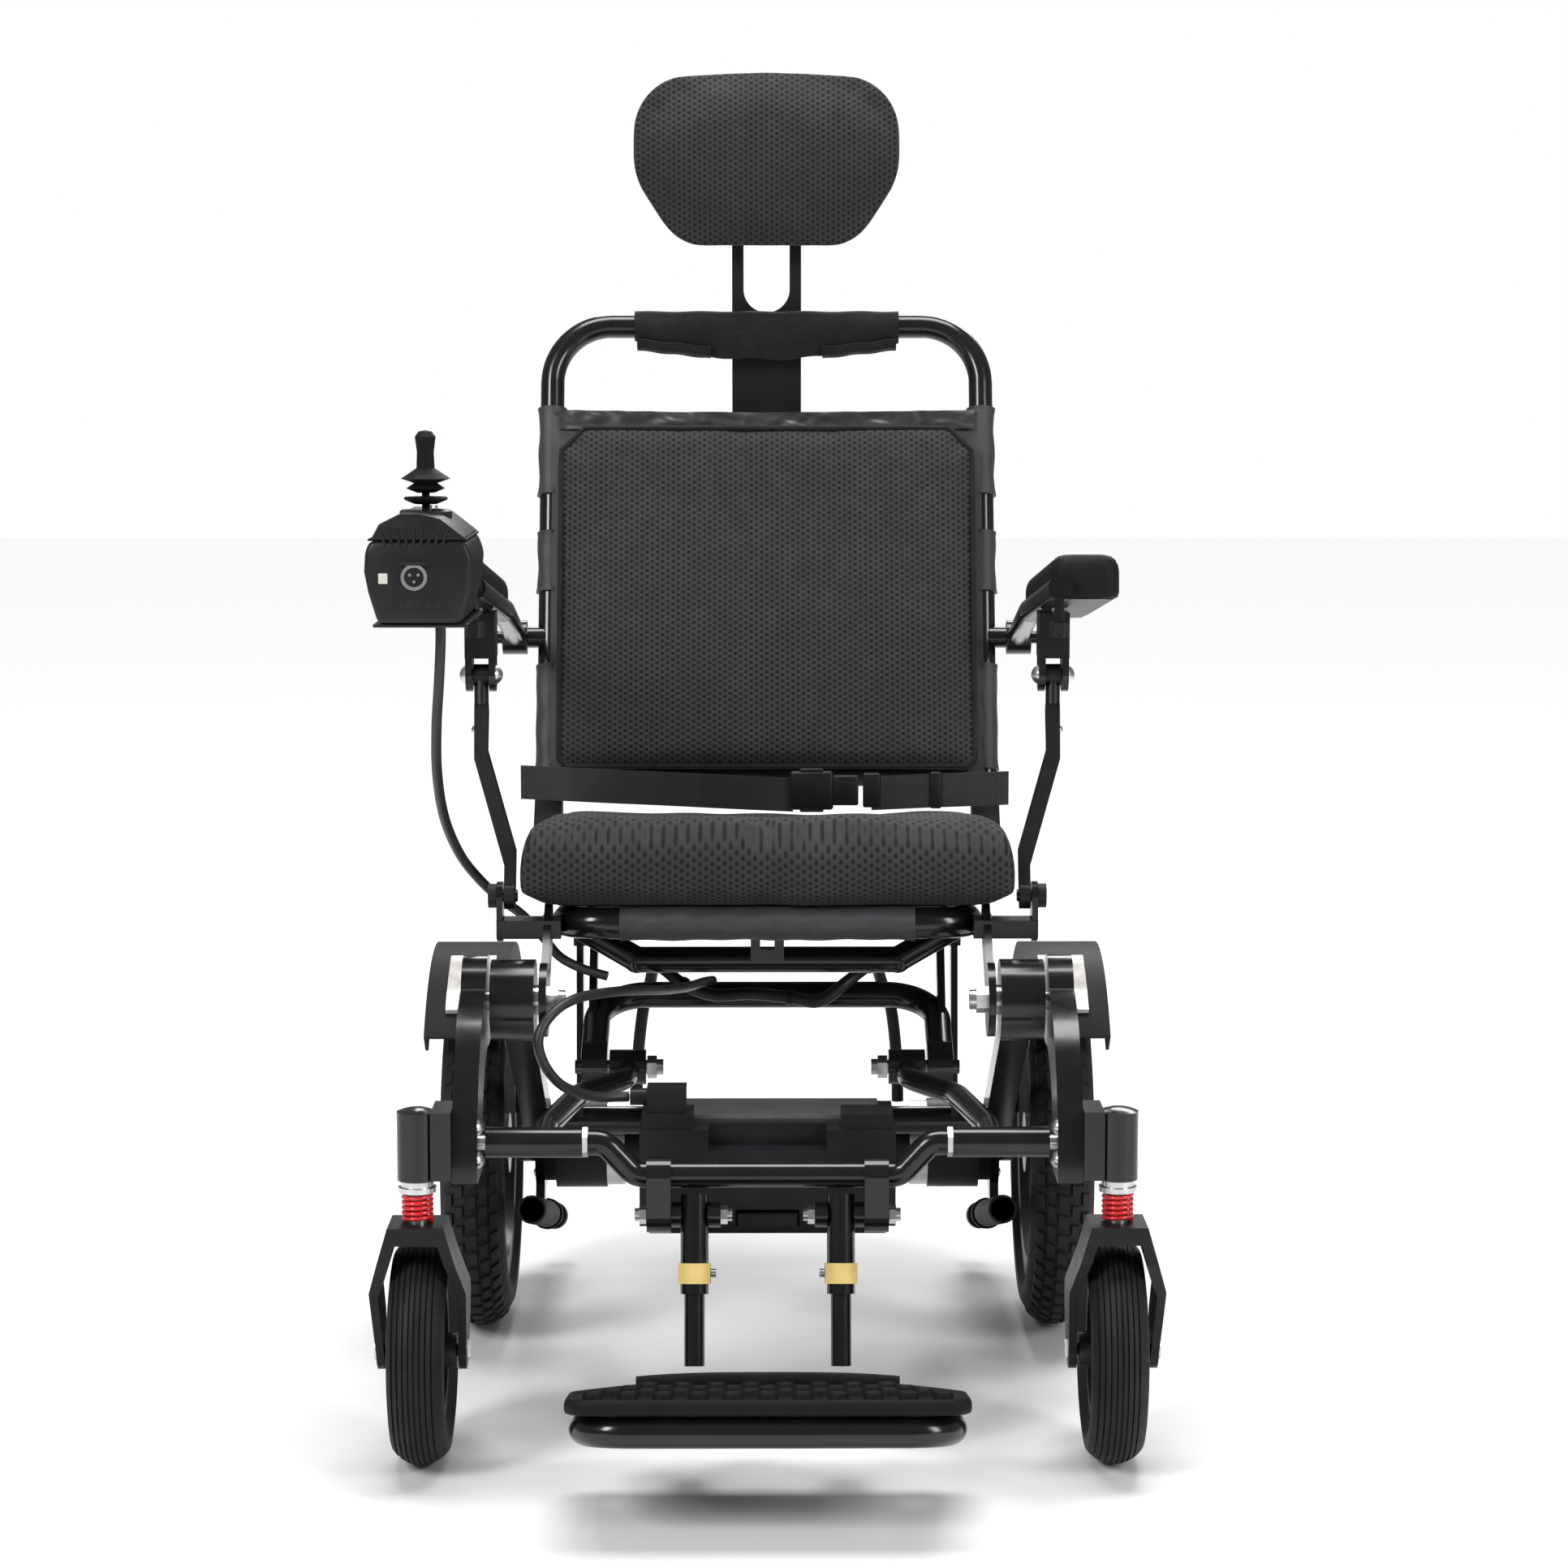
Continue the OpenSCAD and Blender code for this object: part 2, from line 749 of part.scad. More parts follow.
// Inner tubes that slide in the outer ones, joined under the plate by a round rim
module footrest_slider() {
  side_bar = foot_w / 2 - 14;
  color(frame_black) {
    on_footrest() both_sides() translate([tube_x, 0, -118]) cylinder(h = 104, r = 8);
    on_plate() {
      bent_tube([
        [-side_bar, foot_l - 6, -25], [-side_bar, 14, -25], [side_bar, 14, -25],
        [side_bar, foot_l - 6, -25]
      ], 30, 11.5);
      bar_x(-side_bar, side_bar, [foot_l - 8, -25], 9);
      both_sides() block([tube_x - 8, foot_l - 14, -34], [tube_x + 8, foot_l + 34, -18]);
    }
  }
}

// Footplate with rows of round studs and a raised rear lip
module footplate() {
  color(matte_black) on_plate() {
    linear_extrude_down(12) plate_outline();
    for (row = [0 : 3], k = [-5 : 5]) {
      x = (k + (row % 2) * 0.5) * 26;
      if (abs(x) < 138 - row * 10)
        translate([x, 24 + row * 28, 0]) cylinder(h = 3, r = 7);
    }
    block([-102, foot_l - 7, -12], [102, foot_l, 9]);
  }
}

// The 2D children, extruded downward
module linear_extrude_down(h) {
  translate([0, 0, -h]) linear_extrude(height = h) children();
}

// Outline of the footplate, narrower toward the rear
module plate_outline() {
  intersection() {
    union() {
      translate([-foot_w / 2 + 20, 0]) square([foot_w - 40, foot_l]);
      translate([-foot_w / 2, 20]) square([foot_w, 60]);
      both_sides() translate([foot_w / 2 - 20, 20]) circle(r = 20);
      polygon([
        [-foot_w / 2, 80], [foot_w / 2, 80], [102, foot_l], [-102, foot_l]
      ]);
    }
    translate([-foot_w / 2, 0]) square([foot_w, foot_l]);
  }
}

// ---------- seat ----------

rail_x = 167;
rail_front = [200, 406];
rail_rear = [600, 372];
seat_r = seat_tube_d / 2;
rail_fall = (rail_front[1] - rail_rear[1]) / (rail_rear[0] - rail_front[0]);

// Height of the rails' centre line at a depth
function rail_z(y) = rail_front[1] - (y - rail_front[0]) * rail_fall;

rail_l = norm(rail_rear - rail_front);

// The children in the rails' frame: the front tube's axis at the origin, +Y rearward
module on_rails() {
  translate([0, rail_front[0], rail_front[1]]) rotate([-atan(rail_fall), 0, 0]) children();
}

// Seat frame: rails, front tube, lower bar, cross tubes, hinge plates and the strut brackets
module seat_frame() {
  from_stems() {
    color(frame_black) difference() {
      union() {
        on_rails() bent_tube([
          [-rail_x, rail_l, 0], [-rail_x, 0, 0], [rail_x, 0, 0], [rail_x, rail_l, 0]
        ], 34, seat_r);
        welded_tube([[-158, 258, 394], [-110, 258, 366], [110, 258, 366], [158, 258, 394]], 11);
        bar_x(6 - rail_x, rail_x - 6, [432, rail_z(432)], 8);
        bar_x(6 - rail_x, rail_x - 6, [540, rail_z(540)], 8);
        both_sides() {
          side_plate(178, 184.2) {
            strip(rail_front + [4, 2], hinge, 14);
            circle_at(hinge, 30);
          }
          side_plate(176, 188.5) strip(back_pivot, [back_pivot[0], 378], 13);
          block([170, strut_foot[0] - 14, 396], [223, strut_foot[0] + 14, 411]);
          side_plate(218, 223) strip([strut_foot[0], 404], strut_foot, 12);
        }
        block([-14, 246, 366], [14, 252, 392]);
      }
      bar_x(-190, 190, hinge, 8 + play);
      bar_x(-190, 190, back_pivot, 7 + play);
      bar_x(-225, 225, strut_foot, 5 + play);
      block([-6, 240, 376], [6, 260, 394]);
    }
    color(zinc) both_sides() {
      bar_x(172, 216, back_pivot, 7);
      bar_x(206, 223, strut_foot, 5);
      facing_x(184.3, rail_front + [4, 2], 1) dome_head(6, 3);
    }
    color(matte_black) both_sides() facing_x(223.1, strut_foot, 1) cylinder(h = 7, r = 10);
  }
}

// Seat sling over the rails, and its sleeve round the middle of the front tube
module seat_sling() {
  color(fabric_black) from_stems() {
    side_plate(-176, 176) {
      polygon([
        [222, rail_z(222) + seat_r + 0.4], [548, rail_z(548) + seat_r + 0.4],
        [548, rail_z(548) + seat_r + 3.4], [222, rail_z(222) + seat_r + 3.4]
      ]);
    }
    difference() {
      bar_x(-122, 122, rail_front, seat_r + 1.8);
      bar_x(-123, 123, rail_front, seat_r + 0.4);
    }
  }
}

cushion_front = 166;
cushion_rear = 550;
cushion_top_fall = tan(seat_slope);

// Padded seat cushion with a rolled front edge
module seat_cushion() {
  low = 4.2 + seat_r;
  color(fabric_black) from_stems() side_plate(-seat_w / 2, seat_w / 2) {
    polygon([
      [cushion_front + 34, rail_z(200) + low], [cushion_rear, rail_z(cushion_rear) + low],
      [cushion_rear, seat_h - 12 - (cushion_rear - cushion_front) * cushion_top_fall],
      [cushion_rear - 14, seat_h - (cushion_rear - cushion_front) * cushion_top_fall],
      [cushion_front + 34, seat_h - 2]
    ]);
    translate([cushion_front + 36, seat_h - 38]) circle(r = 36);
    translate([cushion_front, rail_z(200) + low]) square([38, 36]);
  }
}

belt_y = 552.5;

// Lap belt, lying across the back of the seat and anchored beside the backrest
module lap_belt() {
  color(fabric_black) from_stems() {
    block([-226, belt_y, 462], [20, belt_y + 2, 496]);
    block([100, belt_y, 458], [222, belt_y + 2, 490]);
  }
}

// Side-release buckle and slider of the lap belt
module belt_buckle() {
  color(matte_black) from_stems() {
    block([20.1, belt_y - 6, 456], [62, belt_y + 4, 494]);
    block([62.1, belt_y - 4, 460], [99.9, belt_y + 3, 490]);
  }
}

// ---------- backrest ----------

back_x = 203;
back_foot = [585.8, 432];
back_r = back_tube_d / 2;
back_len = 489;

// The children in the backrest's own frame: +Z up along the tubes, +Y rearward
module on_back() {
  from_stems() translate([0, back_foot[0], back_foot[1]]) rotate([-recline, 0, 0]) children();
}

// Backrest tube with its hinge feet, armrest bosses, cross bar and headrest clamp
module backrest_frame() {
  color(frame_black) difference() {
    union() {
      on_back() {
        bent_tube([
          [-back_x, 0, 18], [-back_x, 0, back_len], [back_x, 0, back_len], [back_x, 0, 18]
        ], 56, back_r);
        bar_x(4 - back_x, back_x - 4, [2, 112], 6);
      }
      from_stems() both_sides() {
        side_plate(190, 215) strip(back_pivot, on_back_line(24), 14);
        bar_x(207, 224, arm_rear, 10);
      }
    }
    from_stems() bar_x(-230, 230, back_pivot, 7 + play);
  }
  color(matte_black) from_stems() difference() {
    union() {
      block([-46, 748.6, 878], [46, 766, 906]);
      both_sides() block([38, 738, 884], [46, 750, 899]);
      translate([0, 764, 892]) rotate([-90, 0, 0]) cylinder(h = 24, r = 12);
    }
    block([-33.4, 751.6, 870], [33.4, 756.4, 910]);
  }
  color(zinc) from_stems() both_sides() bar_x(222, 256, arm_rear, 6);
}

// Heights of the three sleeves on each side, along the backrest tube
sleeves = [[58, 158], [228, 286], [322, 407]];

// Backrest sling: a sheet in front of the tubes with sleeves round them
module backrest_sling() {
  color(nylon_grey) on_back() {
    block([-back_x, -14, 40], [back_x, -back_r - 0.3, 398]);
    both_sides() for (s = sleeves) difference() {
      translate([back_x, 0, s[0]]) cylinder(h = s[1] - s[0], r = back_r + 3);
      translate([back_x, 0, s[0] - 1]) cylinder(h = s[1] - s[0] + 2, r = back_r + 0.4);
      bar_x(100, back_x, [2, 112], 6.3);
    }
  }
}

// Padded backrest cushion in front of the sling
module backrest_cushion() {
  color(fabric_black) on_back() rotate([90, 0, 0]) translate([0, 0, 14.4])
    linear_extrude(height = 27) polygon([
      [-back_w / 2, 52], [back_w / 2, 52], [back_w / 2, 360], [back_w / 2 - 22, 382],
      [22 - back_w / 2, 382], [-back_w / 2, 360]
    ]);
}

// Fabric cover round the middle of the push bar, with its flap hanging below
module push_bar_cover() {
  bar = on_back_line(back_len);
  color(fabric_black) from_stems() difference() {
    union() {
      bar_x(-126, 126, bar, back_r + 4);
      block([-124, bar[0] - 10, bar[1] - 30], [124, bar[0] + 4, bar[1]]);
    }
    bar_x(-130, 130, bar, back_r + 0.4);
    both_sides() block([37.5, bar[0] + 4.5, bar[1] - 16], [46.5, bar[0] + 30, bar[1] + 10]);
  }
}

// Depth and height of the point at a length up the backrest tube
function on_back_line(l) = back_foot + l * [sin(recline), cos(recline)];

// ---------- headrest ----------

head_y = 712;
head_low = 974;
head_pivot = [749, 1050];

// Flat headrest bracket with a U slot, and the hinge barrel at its top
module headrest_bracket() {
  color(matte_black) from_stems() difference() {
    union() {
      translate([0, 756, 0]) rotate([90, 0, 0]) linear_extrude(height = 4) difference() {
        translate([-33, 800]) square([66, 252]);
        translate([-22, 934]) square([44, 104]);
        translate([0, 934]) circle(r = 22);
      }
      both_sides() side_plate(22, 33) strip(head_pivot, [753, 1046], 5);
    }
    bar_x(-40, 40, head_pivot, 3 + play);
    block([-22, 740, 1037], [22, 760, 1060]);
  }
}

// Headrest pad on a stiff back with two hinge ears and a pin
module headrest_pad() {
  half = head_w / 2;
  mid = head_low + head_h / 2;
  color(fabric_black) from_stems() intersection() {
    translate([0, head_y + head_t / 2, 0]) rotate([90, 0, 0]) linear_extrude(height = head_t)
      polygon([
        [-half + 44, head_low], [half - 44, head_low], [half - 16, head_low + 28],
        [half, mid - 10], [half, mid + 44], [half - 14, mid + 68], [half - 44, mid + 81],
        [44 - half, mid + 81], [14 - half, mid + 68], [-half, mid + 44], [-half, mid - 10],
        [16 - half, head_low + 28]
      ]);
    side_plate(-half, half) {
      polygon([
        [head_y - 14, head_low], [head_y + 20, head_low], [head_y + 23, head_low + 30],
        [head_y + 23, mid + 60], [head_y + 12, mid + 81], [head_y - 10, mid + 81],
        [head_y - 23, mid + 50], [head_y - 23, head_low + 24]
      ]);
    }
  }
  color(matte_black) from_stems() {
    both_sides() difference() {
      side_plate(13, 21.6) strip(head_pivot, [head_y + 30, 1050], 6.5);
      block([0, head_y - 30, 1030], [40, head_y + head_t / 2 + 0.1, 1070]);
      bar_x(0, 40, head_pivot, 2.9);
    }
    bar_x(-34, 34, head_pivot, 3);
  }
}

// ---------- armrests ----------

arm_x = 235;
arm_tip = [124, 689];
arm_bend = [474, arm_tip[1] - (474 - arm_tip[0]) * tan(arm_slope)];

// Armrest tube with its rear boss, front bracket, dome bolts and wing screw
module armrest_frame(side) {
  from_stems() on_side(side) {
    color(frame_black) difference() {
      union() {
        bent_tube([
          [arm_x, arm_tip[0], arm_tip[1]], [arm_x, arm_bend[0], arm_bend[1]],
          [arm_x, arm_rear[0] - 9, arm_rear[1] + 2]
        ], 60, 10);
        bar_x(224.6, 247, arm_rear, 16);
        block([227, 244, 622], [252, 282, 660]);
        block([231, 250, 655], [237, 276, 668]);
        both_cheeks() side_plate(227, 232.5) strip(arm_front, [262, 640], 14);
      }
      bar_x(220, 250, arm_rear, 6 + play);
      bar_x(220, 260, arm_front, 4.9);
    }
    color(zinc) {
      bar_x(227, 252, arm_front, 4.8);
      facing_x(252.1, arm_front, 1) dome_head(8, 5.5);
      facing_x(226.9, arm_front, -1) dome_head(8, 5.5);
    }
    color(matte_black) {
      translate([arm_x, 140, 654]) cylinder(h = 25, r = 4);
      translate([arm_x, 140, 648]) cylinder(h = 12, r = 8);
      block([arm_x - 3, 128, 650], [arm_x + 3, 152, 660]);
    }
  }
}

// A cheek at the given place and its twin, mirrored across the strut
module both_cheeks() {
  children();
  translate([479, 0, 0]) mirror([1, 0, 0]) children();
}

module armrest_frame_left() { armrest_frame(-1); }
module armrest_frame_right() { armrest_frame(1); }

pad_in = 228;
pad_out = 284;
pad_front = 134;

// Moulded arm pad with a groove that takes the armrest tube
module armrest_pad(side) {
  color(matte_black) from_stems() on_side(side) difference() {
    translate([0, pad_front, arm_tip[1] - 9]) rotate([-arm_slope, 0, 0]) {
      linear_extrude(height = 36) {
        translate([pad_in, 14]) square([pad_out - pad_in, arm_l - 28]);
        translate([pad_in + 14, 0]) square([pad_out - pad_in - 28, arm_l]);
        for (x = [pad_in + 14, pad_out - 14], y = [14, arm_l - 14]) translate([x, y]) circle(r = 14);
      }
    }
    rod([arm_x, arm_tip[0] - 20, arm_tip[1] + 20 * tan(arm_slope)],
      [arm_x, arm_bend[0], arm_bend[1]], 10.3);
    rod([arm_x - 6, arm_tip[0] - 20, arm_tip[1] - 6 + 20 * tan(arm_slope)],
      [arm_x - 6, arm_bend[0], arm_bend[1] - 6], 10.3);
    translate([arm_x, 140, 640]) cylinder(h = 50, r = 9);
  }
}
module armrest_pad_left() { armrest_pad(-1); }
module armrest_pad_right() { armrest_pad(1); }

strut_knee = [arm_front[0] - 24, 545];

// Armrest strut: round top, collar with its screw, and the flat bar that bends in to the seat
module arm_strut(side) {
  from_stems() on_side(side) {
    color(frame_black) difference() {
      union() {
        bar_x(233.2, 245.8, arm_front, 9);
        rod([239.5, arm_front[0], arm_front[1]], [238.5, 249, 574], 6);
        bar_x(208, 217, strut_foot, 11);
        intersection() {
          side_plate(200, 250) {
            strip(strut_foot, strut_knee, 9);
            strip(strut_knee, [251, 576], 9);
          }
          rotate([90, 0, 0]) translate([0, 0, -300]) linear_extrude(height = 200) polygon([
            [208, 400], [217, 400], [217, 455], [243.5, 540], [244.5, 590], [233, 590],
            [233, 545], [208, 465]
          ]);
        }
      }
      bar_x(200, 250, arm_front, 4.8 + play);
      bar_x(200, 250, strut_foot, 5 + play);
    }
    color(matte_black) facing_x(244.2, [248, 562], 1) dome_head(4, 3);
  }
}
module arm_strut_left() { arm_strut(-1); }
module arm_strut_right() { arm_strut(1); }

// ---------- joystick controller ----------

stick_at = [-262, 12];
case_split = 736;

// Outline of the controller, seen from the front
module case_outline() {
  polygon([
    [-294, 673], [-231, 673], [-224, 700], [-222, 722], [-228, 738], [-246, 752], [-262, 756],
    [-276, 756], [-292, 748], [-303, 728], [-304, 712], [-301, 696]
  ]);
}

// The controller's outline between two depths
module case_body(y0, y1) {
  translate([0, y1, 0]) rotate([90, 0, 0]) linear_extrude(height = y1 - y0) case_outline();
}

// Lower case of the controller on its mounting plate and rod
module joystick_case() {
  from_stems() {
    color(matte_black) difference() {
      case_body(-50, 74);
      block([-310, -60, case_split], [-210, 90, 800]);
      translate([-266, -40, 708]) rotate([90, 0, 0]) cylinder(h = 20, r = 7.5);
    }
    color(frame_black) {
      block([-298, -46, 669.6], [-226, 98, 672.6]);
      block([-241, 90, 672], [-229, 98, 700]);
      rod([-235, 97, 690], [-235, 122.8, 690], 8);
    }
    color(zinc) for (x = [-288, -238], y = [-30, 60])
      translate([x, y, 669.5]) rotate([180, 0, 0]) dome_head(5, 3);
  }
}

// Upper cover of the controller with the collar round the stick
module joystick_cover() {
  color(matte_black) from_stems() difference() {
    union() {
      intersection() {
        case_body(-50, 74);
        block([-310, -60, case_split + 0.1], [-210, 90, 800]);
      }
      translate([stick_at[0], stick_at[1], 750]) cylinder(h = 8, r = 20);
    }
    translate([stick_at[0], stick_at[1], 745]) cylinder(h = 20, r = 12);
    translate([-262, 52, 750.2]) cylinder(h = 10, r = 6);
  }
}

// Lower ring of the stick's rubber bellows
module joystick_boot() {
  color(tyre_black) from_stems() translate([stick_at[0], stick_at[1], 0])
    rotate_extrude() polygon([
      [7.5, 760.5], [8.5, 760.5], [16, 763.5], [17, 765], [16, 766], [7.5, 766]
    ]);
}

// Joystick: ball, shaft, upper ring of the bellows, cone and knob
module joystick_stick() {
  color(tyre_black) from_stems() translate([stick_at[0], stick_at[1], 0]) {
    translate([0, 0, 752]) sphere(r = 4.5);
    translate([0, 0, 752]) cylinder(h = 40, r = 3);
    rotate_extrude() polygon([
      [0, 769], [7, 769.2], [15, 772.5], [9, 776.5], [19, 780], [7, 788], [6.5, 800], [8, 812],
      [5, 816], [0, 817]
    ]);
  }
}

// Round button behind the stick
module power_button() {
  color(zinc) from_stems() translate([-262, 52, 752.2]) cylinder(h = 6, r = 5.6);
}

cable_route = [
  [-256, 60, 669.4], [-256, 60, 650], [-258, 66, 620], [-262, 84, 580], [-264, 110, 540],
  [-262, 150, 500], [-254, 200, 464], [-242, 250, 436], [-228, 300, 412], [-212, 350, 390],
  [-196, 378, 366], [-182, 384, 348], [-162, 380, 338], [-140, 376, 332]
];

// Joystick cable from the controller down behind the seat's side to the wiring
module joystick_cable() {
  color(matte_black) from_stems() cable(curve(cable_route, 4), 4.2);
}

// ---------- assembly ----------

rear_legs();
main_hinge_pins();
rear_cross_frame();
motors();
anti_tip_tubes();
fenders();
fender_lamps();
battery_case();
battery_top_plate();
battery_plug();
battery_lead();
wiring_harness();
rear_rim_left();
rear_rim_right();
rear_tyre_left();
rear_tyre_right();
rear_arch();
lower_links();
front_legs();
caster_housings();
front_bolts();
footrest_hanger();
caster_washers_left();
caster_washers_right();
caster_spring_left();
caster_spring_right();
caster_fork_left();
caster_fork_right();
caster_rim_left();
caster_rim_right();
caster_tyre_left();
caster_tyre_right();
footrest_tubes();
footrest_slider();
footplate();
height_bands();
seat_frame();
seat_sling();
seat_cushion();
lap_belt();
belt_buckle();
backrest_frame();
backrest_sling();
backrest_cushion();
push_bar_cover();
headrest_bracket();
headrest_pad();
armrest_frame_left();
armrest_frame_right();
armrest_pad_left();
armrest_pad_right();
arm_strut_left();
arm_strut_right();
joystick_case();
joystick_cover();
joystick_boot();
joystick_stick();
power_button();
joystick_cable();
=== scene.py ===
import json
import math
import bpy
import numpy as np
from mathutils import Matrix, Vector, noise


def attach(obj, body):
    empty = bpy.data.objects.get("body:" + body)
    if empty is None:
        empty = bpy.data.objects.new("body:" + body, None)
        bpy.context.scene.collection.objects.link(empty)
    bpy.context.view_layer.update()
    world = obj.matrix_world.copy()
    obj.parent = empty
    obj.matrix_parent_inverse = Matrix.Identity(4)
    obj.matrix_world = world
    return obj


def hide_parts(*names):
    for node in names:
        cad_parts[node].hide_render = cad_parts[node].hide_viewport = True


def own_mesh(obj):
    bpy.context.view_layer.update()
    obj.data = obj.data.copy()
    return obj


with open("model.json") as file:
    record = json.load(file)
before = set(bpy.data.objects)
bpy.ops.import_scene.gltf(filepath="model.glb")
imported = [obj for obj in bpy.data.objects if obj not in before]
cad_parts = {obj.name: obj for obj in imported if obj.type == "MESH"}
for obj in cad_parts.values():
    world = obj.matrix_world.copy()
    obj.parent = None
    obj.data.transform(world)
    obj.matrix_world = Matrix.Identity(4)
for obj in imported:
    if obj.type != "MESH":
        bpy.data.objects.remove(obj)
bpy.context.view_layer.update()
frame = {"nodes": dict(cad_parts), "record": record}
nodes = frame["nodes"]
scene = bpy.context.scene

# Millimetres; depths are counted from the caster stems, heights from the floor
STEMS = -297.75                     # depth of the caster stems in the row frame
BACK_PIVOT = (585.8, 432)           # depth and height of the line the backrest turns about
BACK_LEAN = 17.4                    # degrees that the backrest leans back
PUSH_BAR_UP = 489                   # from that line to the push bar
REAR_WHEEL = (257, 470, 163.5)      # middle of the right rear wheel
CASTER = (273.5, 32, 90)            # middle of the right caster wheel
SOCKET = (-266, 708)                # x and height of the charging socket
STICK = (-262, 12)                  # x and depth of the joystick
SIDES = (("left", -1), ("right", 1))


def V(x, y, z):
    """Millimetres, depth counted from the caster stems, to metres in the row frame."""
    return Vector((x / 1000, (y + STEMS) / 1000, z / 1000))


def tilted(origin, degrees):
    """V() in a frame with its own origin (depth, height), leaning back by some degrees."""
    c, s = math.cos(math.radians(degrees)), math.sin(math.radians(degrees))
    return lambda x, y, z: V(x, origin[0] + y * c + z * s, origin[1] - y * s + z * c)


on_back = tilted(BACK_PIVOT, BACK_LEAN)
on_plate = tilted((-190, 112), 11)
on_pad = tilted((134, 680), 7)


def rail_z(y):
    """Height of the middle of the seat rails, which slope down to the back."""
    return 406 - (y - 200) * 0.085


# ---------- materials ----------

